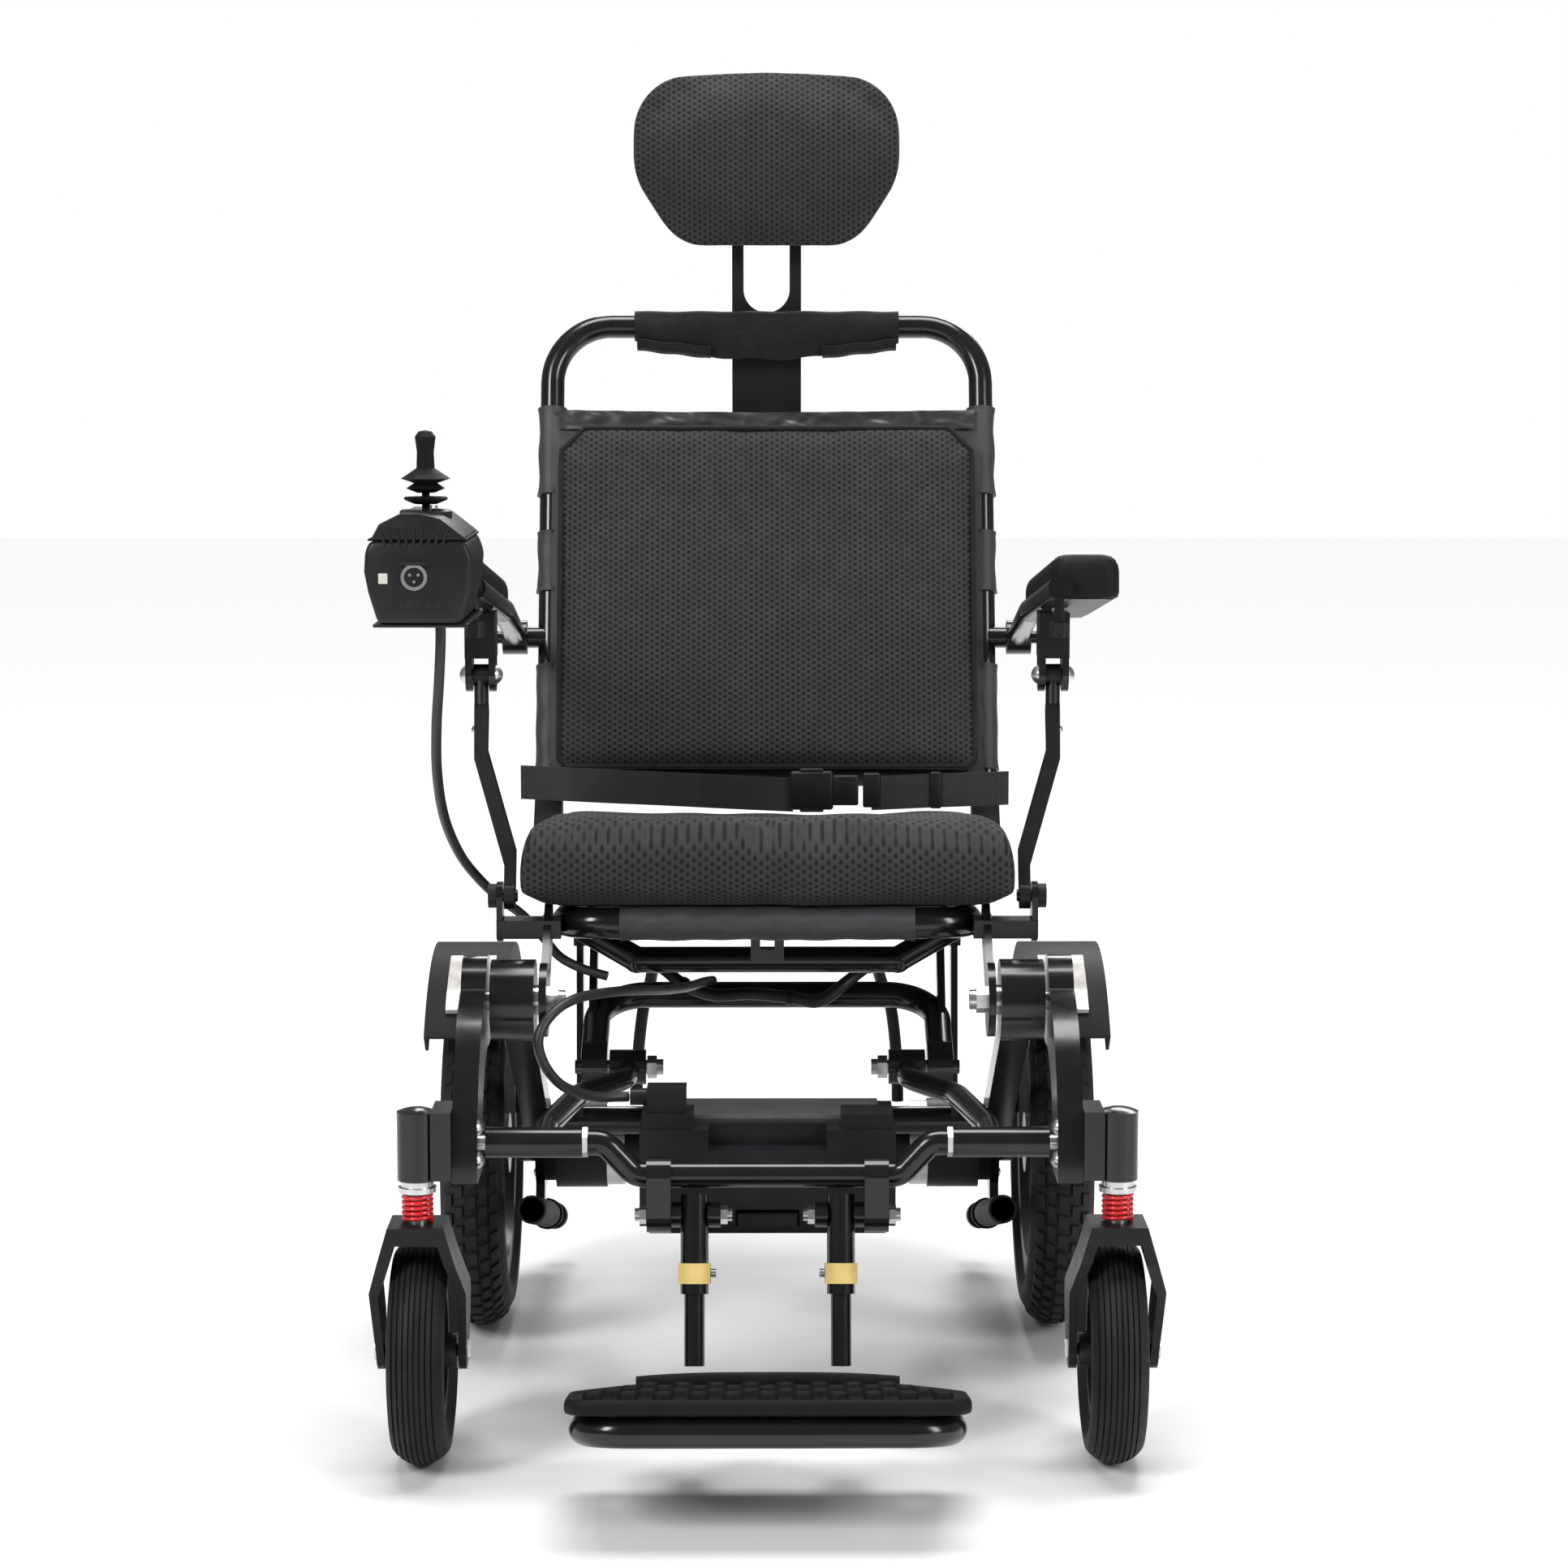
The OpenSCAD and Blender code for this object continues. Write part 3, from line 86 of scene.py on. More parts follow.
def material(name, colour, rough, metal=0.0, vary=0.12, scale=40, bumps=(), sheen=0.0,
             coat=0.0, stretch=None, spec=0.5, rough_vary=0.12, painted_hollow_shade=None):
    """Procedural material. bumps is a list of (kind, scale per metre, strength, distance in mm).

    vary and rough_vary are how far the colour and the roughness wander. The last argument sets how much of
    the colour is left in the hollows of a woven or meshed pattern: painted shade in the hollows, with the
    raised parts painted lighter.
    """
    m = bpy.data.materials.new(name)
    m.use_nodes = True
    t = m.node_tree
    b = t.nodes["Principled BSDF"]
    b.inputs["Metallic"].default_value = metal
    b.inputs["Sheen Weight"].default_value = sheen
    b.inputs["Sheen Roughness"].default_value = 0.45
    b.inputs["Coat Weight"].default_value = coat
    b.inputs["Coat Roughness"].default_value = 0.12
    b.inputs["Specular IOR Level"].default_value = spec
    tc = t.nodes.new("ShaderNodeTexCoord")
    link = t.links.new

    def noise_at(s, detail=4, st=None):
        n = t.nodes.new("ShaderNodeTexNoise")
        n.inputs["Scale"].default_value = s
        n.inputs["Detail"].default_value = detail
        if st:
            mp = t.nodes.new("ShaderNodeMapping")
            mp.inputs["Scale"].default_value = st
            link(tc.outputs["Object"], mp.inputs["Vector"])
            link(mp.outputs[0], n.inputs["Vector"])
        else:
            link(tc.outputs["Object"], n.inputs["Vector"])
        return n.outputs["Fac"]

    def wave_at(s, axis):
        w = t.nodes.new("ShaderNodeTexWave")
        w.bands_direction = axis
        w.inputs["Scale"].default_value = s / 20 * math.pi * 2
        w.inputs["Distortion"].default_value = 0.6
        w.inputs["Detail"].default_value = 1
        w.inputs["Detail Scale"].default_value = 3
        link(tc.outputs["Object"], w.inputs["Vector"])
        return w.outputs["Fac"]

    def math_of(op, a, c, clamp=False):
        n = t.nodes.new("ShaderNodeMath")
        n.operation = op
        n.use_clamp = clamp
        for k, v in enumerate((a, c)):
            if isinstance(v, (int, float)):
                n.inputs[k].default_value = v
            else:
                link(v, n.inputs[k])
        return n.outputs[0]

    height, pattern = None, None
    for kind, s, strength, dist in bumps:
        if kind == "noise":
            h = noise_at(s, 3)
        elif kind == "brushed":
            h = noise_at(s, 2, stretch or (1, 1, 12))
        elif kind == "cells":
            v = t.nodes.new("ShaderNodeTexVoronoi")
            v.inputs["Scale"].default_value = s
            v.inputs["Randomness"].default_value = 0.35
            link(tc.outputs["Object"], v.inputs["Vector"])
            h = v.outputs["Distance"]
            pattern = h
        elif kind == "weave":
            a = wave_at(s, "X")
            c = math_of("MULTIPLY", wave_at(s, "Z"), wave_at(s, "Y"))
            h = math_of("MAXIMUM", a, c)
            pattern = h
        elif kind in ("hex", "hex_seat"):
            total = None
            for angle in (0, 60, 120):
                d = t.nodes.new("ShaderNodeVectorMath")
                d.operation = "DOT_PRODUCT"
                cs, sn = s * math.cos(math.radians(angle)), s * math.sin(math.radians(angle))
                d.inputs[1].default_value = (cs, 0, sn) if kind == "hex" else (cs, 0.9 * sn, -0.9 * sn)
                link(tc.outputs["Object"], d.inputs[0])
                c = math_of("COSINE", d.outputs["Value"], 0)
                total = c if total is None else math_of("ADD", total, c)
            h = math_of("MULTIPLY_ADD", total, -1 / 4.5)
            h.node.inputs[2].default_value = 3 / 4.5
            pattern = h
        elif kind == "ribs":
            h = wave_at(s, "X")
            pattern = h
        bump = t.nodes.new("ShaderNodeBump")
        bump.inputs["Strength"].default_value = strength
        bump.inputs["Distance"].default_value = dist / 1000
        link(h, bump.inputs["Height"])
        if height:
            link(height, bump.inputs["Normal"])
        height = bump.outputs["Normal"]
    if height:
        link(height, b.inputs["Normal"])
    base = noise_at(scale, 5)
    ramp = t.nodes.new("ShaderNodeValToRGB")
    lo = [max(0, c * (1 - vary)) for c in colour] + [1]
    hi = [min(1, c * (1 + vary) + 0.002) for c in colour] + [1]
    ramp.color_ramp.elements[0].position = 0.3
    ramp.color_ramp.elements[1].position = 0.72
    ramp.color_ramp.elements[0].color = lo
    ramp.color_ramp.elements[1].color = hi
    link(base, ramp.inputs["Fac"])
    out = ramp.outputs["Color"]
    # Painted shade: the colour is darkened in the hollows of the bump pattern and painted lighter on its
    # raised parts
    if pattern is not None and painted_hollow_shade is not None:
        mix = t.nodes.new("ShaderNodeMix")
        mix.data_type = "RGBA"
        mix.blend_type = "MULTIPLY"
        mix.inputs[0].default_value = 1.0
        hollow_shade_ramp = t.nodes.new("ShaderNodeValToRGB")
        hollow_shade_ramp.color_ramp.elements[0].position = 0.30
        hollow_shade_ramp.color_ramp.elements[1].position = 0.62
        hollow_shade_ramp.color_ramp.elements[0].color = (painted_hollow_shade, painted_hollow_shade, painted_hollow_shade, 1)
        hollow_shade_ramp.color_ramp.elements[1].color = (1.6, 1.6, 1.6, 1)
        link(pattern, hollow_shade_ramp.inputs["Fac"])
        link(out, mix.inputs[6])
        link(hollow_shade_ramp.outputs["Color"], mix.inputs[7])
        out = mix.outputs[2]
    link(out, b.inputs["Base Color"])
    rr = t.nodes.new("ShaderNodeMapRange")
    rr.inputs["To Min"].default_value = max(0.02, rough - rough_vary)
    rr.inputs["To Max"].default_value = min(1, rough + rough_vary)
    link(noise_at(scale * 2.3, 4), rr.inputs["Value"])
    link(rr.outputs[0], b.inputs["Roughness"])
    return m


M = {
    "frame_paint": material("frame_paint", (0.005, 0.005, 0.006), 0.20, coat=0.15, rough_vary=0.05,
                            spec=0.4, bumps=[("noise", 700, 0.06, 0.25)]),
    "matte_metal": material("matte_metal", (0.007, 0.007, 0.008), 0.42, rough_vary=0.08, spec=0.25,
                            bumps=[("noise", 900, 0.12, 0.2)]),
    "zinc": material("zinc", (0.62, 0.62, 0.63), 0.28, 1.0, bumps=[("brushed", 900, 0.08, 0.1)]),
    "alloy": material("alloy", (0.70, 0.71, 0.72), 0.33, 1.0, bumps=[("brushed", 600, 0.15, 0.1)],
                      stretch=(1, 18, 1)),
    "black_plastic": material("black_plastic", (0.008, 0.0085, 0.0105), 0.42, rough_vary=0.08, spec=0.3,
                              bumps=[("cells", 1500, 0.10, 0.2)]),
    "fender_plastic": material("fender_plastic", (0.010, 0.010, 0.012), 0.50, rough_vary=0.05, spec=0.12,
                               bumps=[("noise", 120, 0.04, 0.3)]),
    "lamp_lens": material("lamp_lens", (0.66, 0.64, 0.60), 0.12, coat=0.7, vary=0.25, scale=60,
                          bumps=[("ribs", 300, 0.25, 0.4)]),
    "tyre_rubber": material("tyre_rubber", (0.008, 0.008, 0.008), 0.62, spec=0.25,
                            bumps=[("noise", 600, 0.18, 0.3)], vary=0.3),
    "soft_rubber": material("soft_rubber", (0.007, 0.007, 0.008), 0.60, spec=0.12,
                            bumps=[("cells", 900, 0.22, 0.3)]),
    "rim_plastic": material("rim_plastic", (0.016, 0.016, 0.018), 0.36, bumps=[("noise", 500, 0.08, 0.2)]),
    "spring_red": material("spring_red", (0.62, 0.012, 0.018), 0.25, coat=0.5,
                           bumps=[("noise", 400, 0.05, 0.2)]),
    "mesh_fabric": material("mesh_fabric", (0.014, 0.014, 0.0155), 0.78, sheen=0.05, spec=0.3, painted_hollow_shade=0.05,
                            bumps=[("hex", 1300, 0.9, 0.9)], vary=0.10),
    "seat_mesh": material("seat_mesh", (0.015, 0.015, 0.0165), 0.78, sheen=0.05, spec=0.3, painted_hollow_shade=0.05,
                          bumps=[("hex_seat", 1250, 0.9, 0.9)], vary=0.10),
    "nylon": material("nylon", (0.022, 0.023, 0.026), 0.50, sheen=0.05, painted_hollow_shade=0.5,
                      bumps=[("weave", 900, 0.35, 0.25)], vary=0.15),
    "nylon_band": material("nylon_band", (0.020, 0.020, 0.023), 0.34, rough_vary=0.06, spec=0.5,
                           bumps=[("weave", 1200, 0.15, 0.15)], vary=0.15),
    "knit_cover": material("knit_cover", (0.007, 0.0065, 0.0065), 0.85, sheen=0.03, spec=0.25, painted_hollow_shade=0.7,
                           bumps=[("weave", 900, 0.25, 0.2)]),
    "webbing": material("webbing", (0.009, 0.009, 0.010), 0.6, sheen=0.06, painted_hollow_shade=0.45,
                        bumps=[("weave", 500, 0.6, 0.5)]),
    "yellow_strap": material("yellow_strap", (0.80, 0.58, 0.20), 0.5, bumps=[("ribs", 800, 0.2, 0.2)]),
    "cable_jacket": material("cable_jacket", (0.015, 0.015, 0.016), 0.45,
                             bumps=[("noise", 500, 0.1, 0.2)]),
    "amber": material("amber", (0.75, 0.22, 0.03), 0.15, coat=0.7, bumps=[("ribs", 300, 0.25, 0.4)]),
    "pale_plastic": material("pale_plastic", (0.55, 0.53, 0.47), 0.5, bumps=[("noise", 600, 0.1, 0.2)]),
}

for s in frame["record"]["subparts"]:
    o = nodes[s["node"]]
    o.data.materials.clear()
    o.data.materials.append(M[s["material_slot"]])
    for p in o.data.polygons:
        p.use_smooth = True
    o.data.set_sharp_from_angle(angle=math.radians(35))


def dress(node, finish, test):
    """Gives the faces of a CAD node whose middle passes the test another finish."""
    me = nodes[node].data
    me.materials.append(M[finish])
    k = len(me.materials) - 1
    for p in me.polygons:
        c = p.center
        if test(abs(c.x * 1000), c.y * 1000 - STEMS, c.z * 1000):
            p.material_index = k


def near(y, z, y0, z0, r):
    """True within r of a bolt's or an axle's middle."""
    return math.hypot(y - y0, z - z0) < r


dress("rear_arch", "zinc", lambda x, y, z: (x < 131 or x > 160.2) and near(y, z, 320, 262, 13))
dress("seat_frame", "zinc", lambda x, y, z: x > 184.25 and near(y, z, 204, 408, 7))
dress("seat_frame", "black_plastic", lambda x, y, z: x > 223)
dress("backrest_frame", "zinc", lambda x, y, z: x > 247)
dress("backrest_frame", "matte_metal", lambda x, y, z: x < 60 and y > 737 and z > 870)
dress("backrest_frame", "soft_rubber", lambda x, y, z: 189 < x < 216 and z < 476)
dress("motors", "alloy", lambda x, y, z: 128 < x < 144 or x > 208)
dress("footrest_tubes", "zinc", lambda x, y, z: (x < 37 or x > 95.4) and near(y, z, 20, 202, 10))
dress("height_bands", "zinc", lambda x, y, z: x < 45)
dress("anti_tip_tubes", "soft_rubber", lambda x, y, z: True)
dress("anti_tip_tubes", "tyre_rubber", lambda x, y, z: y > 652)
dress("fender_lamps", "amber", lambda x, y, z: 306 < z < 318 and x < 252)
for side in ("left", "right"):
    dress(f"rear_rim_{side}", "zinc", lambda x, y, z: near(y, z, 470, 163.5, 13) and (x > 276 or x < 232))
    dress(f"caster_fork_{side}", "zinc", lambda x, y, z: z > 201.3 or (
        abs(x - 273.5) > 35.6 and near(y, z, 32, 90, 8.5)) or (near(x, y, 273.5, 0, 8.6)))
    dress(f"armrest_frame_{side}", "zinc", lambda x, y, z: near(y, z, 262, 607, 9) and (x < 227 or x > 252))
    dress(f"armrest_frame_{side}", "black_plastic", lambda x, y, z: y < 153 and z < 661)
    dress(f"arm_strut_{side}", "zinc", lambda x, y, z: x > 244.3 and near(y, z, 248, 562, 5))


# ---------- building blocks ----------

BOX_FACES = [(0, 2, 3, 1), (4, 5, 7, 6), (0, 1, 5, 4), (2, 6, 7, 3), (0, 4, 6, 2), (1, 3, 7, 5)]


def add(name, verts, faces, finish, body, smooth=True, angle=40):
    """A mesh piece with its finish and slot, carried by its body if one is given."""
    me = bpy.data.meshes.new(name)
    me.from_pydata([tuple(v) for v in verts], [], faces)
    me.validate()
    o = bpy.data.objects.new(name, me)
    scene.collection.objects.link(o)
    me.materials.append(M[finish])
    if smooth:
        for p in me.polygons:
            p.use_smooth = True
        me.set_sharp_from_angle(angle=math.radians(angle))
    if body:
        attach(o, body)
    return o


def span(a, b, n):
    """n + 1 even steps from a to b."""
    return [a + (b - a) * k / n for k in range(n + 1)]


def turn(n):
    """n even angles round a circle."""
    return [2 * math.pi * k / n for k in range(n)]


def corner_arc(cx, cy, r, start, n=8):
    """A quarter circle of n + 1 points, from the start angle in degrees."""
    angles = [math.radians(start + 90 * k / n) for k in range(n + 1)]
    return [(cx + r * math.cos(a), cy + r * math.sin(a)) for a in angles]


def joined(rings):
    return [p for ring in rings for p in ring]


def loft_faces(count, n, first=0):
    """Faces that join count rings of n points and close both ends."""
    faces = [(i * n + k, i * n + (k + 1) % n, (i + 1) * n + (k + 1) % n, (i + 1) * n + k)
             for i in range(count - 1) for k in range(n)]
    faces += [tuple(range(n - 1, -1, -1)), tuple((count - 1) * n + k for k in range(n))]
    return [tuple(first + q for q in face) for face in faces]


def lofted(name, rings, finish, body, flip=False, **look):
    """A closed solid through rings of the same number of points."""
    faces = loft_faces(len(rings), len(rings[0]))
    if flip:
        faces = [face[::-1] for face in faces]
    return add(name, joined(rings), faces, finish, body, **look)


def looped(name, rings, finish, body, flip=False, **look):
    """A ring-shaped solid, like a tyre, through a closed loop of rings."""
    n, m = len(rings), len(rings[0])
    faces = [(i * m + k, i * m + (k + 1) % m, (i + 1) % n * m + (k + 1) % m, (i + 1) % n * m + k)
             for i in range(n) for k in range(m)]
    if flip:
        faces = [face[::-1] for face in faces]
    return add(name, joined(rings), faces, finish, body, **look)


def prism(name, ends, finish):
    """A closed solid between two matching outlines."""
    n = len(ends[0])
    faces = [tuple(range(n)), tuple(range(2 * n - 1, n - 1, -1))]
    faces += [(k, k + n, (k + 1) % n + n, (k + 1) % n) for k in range(n)]
    return add(name, joined(ends), faces, finish, None)


def outline_prism(name, outline, y0, y1, finish, place=V):
    """A prism whose (x, z) outline faces forward."""
    return prism(name, [[place(x, y, z) for x, z in outline] for y in (y0, y1)], finish)


def bake_modifiers(o):
    dg = bpy.context.evaluated_depsgraph_get()
    me = bpy.data.meshes.new_from_object(o.evaluated_get(dg))
    o.modifiers.clear()
    old = o.data
    o.data = me
    bpy.data.meshes.remove(old)
    for p in me.polygons:
        p.use_smooth = True


def bevelled(o, width, segments=3, angle=35):
    m = o.modifiers.new("bevel", "BEVEL")
    m.width = width / 1000
    m.segments = segments
    m.limit_method = "ANGLE"
    m.angle_limit = math.radians(angle)
    bake_modifiers(o)
    o.data.set_sharp_from_angle(angle=math.radians(50))


def block(name, low, high, finish, body, bevel=2):
    """A box with rounded edges."""
    v = [V(x, y, z) for z in (low[2], high[2]) for y in (low[1], high[1]) for x in (low[0], high[0])]
    o = add(name, v, BOX_FACES, finish, None)
    bevelled(o, bevel)
    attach(o, body)
    return o


def tube(name, points, r, finish, body, sides=12, closed=False, **look):
    """A round tube along points in metres, with its rings carried along without twist."""
    n = len(points)
    rings, across = [], None
    for i in range(n):
        if closed:
            t = (points[(i + 1) % n] - points[i - 1]).normalized()
        else:
            t = (points[min(i + 1, n - 1)] - points[max(i - 1, 0)]).normalized()
        if across is None:
            across = t.orthogonal().normalized()
        across = (across - across.dot(t) * t).normalized()
        w = t.cross(across)
        rings.append([points[i] + r / 1000 * (math.cos(a) * across + math.sin(a) * w) for a in turn(sides)])
    make = looped if closed else lofted
    return make(name, rings, finish, body, **look)


def smooth_path(points, n):
    """Points on a Catmull-Rom curve through the given ones."""
    out = []
    for i in range(len(points) - 1):
        a, b, c, d = points[max(i - 1, 0)], points[i], points[i + 1], points[min(i + 2, len(points) - 1)]
        for k in range(n):
            t = k / n
            out.append(0.5 * (2 * b + (c - a) * t + (2 * a - 5 * b + 4 * c - d) * t * t
                              + (3 * b - a - 3 * c + d) * t ** 3))
    out.append(points[-1])
    return out


# ---------- padded fabric ----------

def coords(o):
    co = np.empty(len(o.data.vertices) * 3)
    o.data.vertices.foreach_get("co", co)
    return co.reshape(-1, 3)


def puff(o, voxel, cap, along, aside=0.15):
    """Blows a pad up as cloth. The movement is kept whole along one way, in part across it, and capped."""
    m = o.modifiers.new("remesh", "REMESH")
    m.mode = "VOXEL"
    m.voxel_size = voxel / 1000
    bake_modifiers(o)
    last_frame = 20
    rest = coords(o)
    c = o.modifiers.new("cloth", "CLOTH")
    c.settings.use_pressure = True
    c.settings.uniform_pressure_force = 4.0
    c.settings.effector_weights.gravity = 0
    c.settings.quality = 5
    c.settings.tension_stiffness = 12
    c.settings.bending_stiffness = 0.4
    c.collision_settings.use_collision = False
    c.point_cache.frame_start = 1
    c.point_cache.frame_end = last_frame
    for f in range(1, last_frame + 1):
        scene.frame_set(f)
    blown = o.evaluated_get(bpy.context.evaluated_depsgraph_get())
    co = coords(blown)
    o.modifiers.clear()
    scene.frame_set(1)
    move = co - rest
    way = np.array(along) / np.linalg.norm(along)
    thick = (move @ way)[:, None] * way
    move = thick + aside * (move - thick)
    size = np.linalg.norm(move, axis=1, keepdims=True)
    top = cap / 1000
    move *= np.where(size > 1e-9, top * np.tanh(size / top) / np.maximum(size, 1e-9), 0)
    o.data.vertices.foreach_set("co", (rest + move).ravel())
    o.data.update()
    s = o.modifiers.new("soft", "SUBSURF")
    s.levels = s.render_levels = 1
    bake_modifiers(o)


def shape(o, f):
    """Moves every vertex by a function of its place in millimetres from the stems."""
    new = [f(x * 1000, y * 1000 - STEMS, z * 1000) for x, y, z in coords(o)]
    o.data.vertices.foreach_set("co", np.array([tuple(V(*p)) for p in new]).ravel())
    o.data.update()


def untilted(origin, degrees):
    """The inverse of tilted(), on a vertex in metres, giving millimetres."""
    c, s = math.cos(math.radians(degrees)), math.sin(math.radians(degrees))

    def inverse(p):
        dy, dz = p[1] * 1000 - STEMS - origin[0], p[2] * 1000 - origin[1]
        return p[0] * 1000, dy * c - dz * s, dy * s + dz * c
    return inverse


def fitted(o, place, inverse, low, high):
    """Stretches a puffed pad to the box from low to high, in the millimetres of its own frame."""
    local = np.array([inverse(p) for p in coords(o)])
    a, b = local.min(0), local.max(0)
    local = (local - a) / (b - a) * (np.array(high) - np.array(low)) + np.array(low)
    o.data.vertices.foreach_set("co", np.array([tuple(place(*p)) for p in local]).ravel())
    o.data.update()


def stands_for(o, body, node):
    """A padded piece of mesh fabric in place of a CAD solid."""
    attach(o, body)
    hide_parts(node)


# ---------- seat cushion ----------

def seat_top(y):
    return 494.5 - (y - 200) * 0.1228


def seat_waves(x, y, z):
    """Sag in the middle, waves in the cloth and sides that slant inwards towards the top."""
    up = max(0.0, min(1.0, (z - rail_z(y) - 40) / 40))
    slant = max(0.0, min(1.0, (z - rail_z(y) - 40) / 45))
    sag = -5.0 * max(0, 1 - (x / 190) ** 2) * max(0, 1 - ((y - 380) / 180) ** 2)
    edge = 2.2 * math.sin(x / 23.0 + 0.8 * math.sin(y / 60)) * math.exp(-((y - 176) / 22) ** 2)
    wave = 3.0 * noise.noise(Vector((x / 60, y / 45, 1.7)))
    z2 = z + up * (sag + wave)
    y2 = y - 0.7 * edge * max(0, min(1, (490 - z) / 30))
    x2 = x * (1 - 0.045 * up * slant)
    return max(-207, min(207, x2)), max(163.5, y2), max(rail_z(y) + 16.8 if y > 200 else 422, z2)


nose = [(174, 432), (171, 446), (172, 462), (178, 474), (190, 483), (206, 487)]
upper = [(y, seat_top(y) - 6) for y in (260, 320, 380, 440, 500, 530)]
heel = [(541, seat_top(541) - 12), (543, rail_z(543) + 28)]
lower = [(y, rail_z(y) + 22) for y in (530, 450, 370, 290, 210)]
profile = nose + upper + heel + lower
cushion = prism("seat_cushion_fabric", [[V(x, y, z) for y, z in profile] for x in (-200, 200)], "seat_mesh")
puff(cushion, 5.5, 9, (0, 0, 1), 0.4)
plain = untilted((0, 0), 0)
now = np.array([plain(p) for p in coords(cushion)])
fitted(cushion, V, plain, (-204.5, now[:, 1].min() - 1, now[:, 2].min()), (204.5, 549, now[:, 2].max()))
shape(cushion, seat_waves)
stands_for(cushion, "seat", "seat_cushion")

# ---------- backrest cushion ----------

def back_outline(half, low, high, cut, nick=8):
    """Outline with small corners at the bottom and large cut ones at the top."""
    return [(nick - half, low), (half - nick, low), (half, low + nick), (half, high - cut),
            (half - cut, high), (cut - half, high), (-half, high - cut), (-half, low + nick)]


def dense(points, step):
    """A closed outline with no two points further apart than twice the step."""
    out = []
    for i, a in enumerate(points):
        b = points[(i + 1) % len(points)]
        n = max(1, int((b - a).length / step))
        out += [a + (b - a) * k / n for k in range(n)]
    return out


back_pad = outline_prism("backrest_cushion_fabric", back_outline(189, 59, 375, 22), -36, -19, "mesh_fabric",
                         on_back)
puff(back_pad, 5, 9, on_back(0, 1, 0) - on_back(0, 0, 0))
fitted(back_pad, on_back, untilted(BACK_PIVOT, BACK_LEAN), (-194, -42.5, 53.5), (194, -15, 380.5))
stands_for(back_pad, "backrest", "backrest_cushion")
for label, depth in (("front", -35), ("rear", -18)):
    edge = dense([on_back(x, depth, z) for x, z in back_outline(192.5, 55.5, 378.5, 22)], 0.012)
    tube(f"backrest_piping_{label}", edge, 2.6, "knit_cover", "backrest", 8, closed=True)

# ---------- headrest ----------

def rounded(corners, steps=9):
    """Outline of (x, z, radius) corners, each turned into an arc."""
    out = []
    for i, (x, z, radius) in enumerate(corners):
        p = Vector((x, z))
        a = (Vector(corners[i - 1][:2]) - p).normalized()
        b = (Vector(corners[(i + 1) % len(corners)][:2]) - p).normalized()
        half = a.angle(b) / 2
        middle = p + (a + b).normalized() * radius / math.sin(half)
        first, last = p + a * radius / math.tan(half) - middle, p + b * radius / math.tan(half) - middle
        sweep = first.angle_signed(last)
        for k in range(steps):
            t = -sweep * k / (steps - 1)
            out.append((middle.x + first.x * math.cos(t) - first.y * math.sin(t),
                        middle.y + first.x * math.sin(t) + first.y * math.cos(t)))
    return out


def head_curve(x, y, z):
    """Domes the front of the headrest pad."""
    front = max(0, (728 - y) / 38)
    edge = min(1, math.hypot(x / 125, (z - 1055) / 80))
    return x, y + (13 * edge ** 3 - 1) * front, z


head_outline = rounded([(-82, 979, 46), (82, 979, 46), (124, 1040, 60), (123, 1124, 50), (0, 1132, 500),
                        (-123, 1124, 50), (-124, 1040, 60)])
pad = outline_prism("headrest_fabric", head_outline, 699, 725, "mesh_fabric")
puff(pad, 4.5, 10, (0, 1, 0))
fitted(pad, V, plain, (-125.4, 689.5, 974.5), (125.4, 733, 1135.5))
shape(pad, head_curve)
stands_for(pad, "headrest", "headrest_pad")
for side, sign in SIDES:
    block(f"headrest_ear_{side}", (sign * 17.3 - 4.2, 733, 1042), (sign * 17.3 + 4.2, 754, 1058),
          "matte_metal", "headrest", 2.5)
tube("headrest_pin", [V(x, 749, 1050) for x in (-34, -33, 33, 34)], 3, "zinc", "headrest", 16)

# ---------- slings and covers ----------

def sheet_grid(name, place, us, vs, bulge, thick, finish):
    """Thin closed sheet over a grid of (u, v)."""
    nu, nv = len(us), len(vs)
    verts = [place(u, v, bulge(u, v)) for v in vs for u in us]
    verts += [place(u, v, bulge(u, v) + thick) for v in vs for u in us]
    faces = []
    q = nu * nv
    for j in range(nv - 1):
        for i in range(nu - 1):
            a = j * nu + i
            faces.append((a, a + 1, a + nu + 1, a + nu))
            faces.append((q + a, q + a + nu, q + a + nu + 1, q + a + 1))
    edge = list(range(nu)) + [j * nu + nu - 1 for j in range(1, nv)]
    edge += [(nv - 1) * nu + i for i in range(nu - 2, -1, -1)] + [j * nu for j in range(nv - 2, 0, -1)]
    for k, a in enumerate(edge):
        b = edge[(k + 1) % len(edge)]
        faces.append((b, a, q + a, q + b))
    return add(name, verts, faces, finish, None)


def back_depth(x, z):
    return -13.6 + 1.6 * math.cos(x / 203 * math.pi / 2) * math.sin((z - 40) / 358 * math.pi)


def band_depth(x, z):
    """Wrinkles of the nylon band along the top of the backrest."""
    wide = noise.noise(Vector((x / 26, z / 9 + x / 40, 3.1)))
    fine = noise.noise(Vector((x / 11, z / 7, 8.4)))
    return -17.6 + 1.9 * (wide + 0.5 * fine)


def sagging(x, z, y):
    return on_back(x, y, z - 2.5 * math.cos(x / 196 * math.pi / 2))


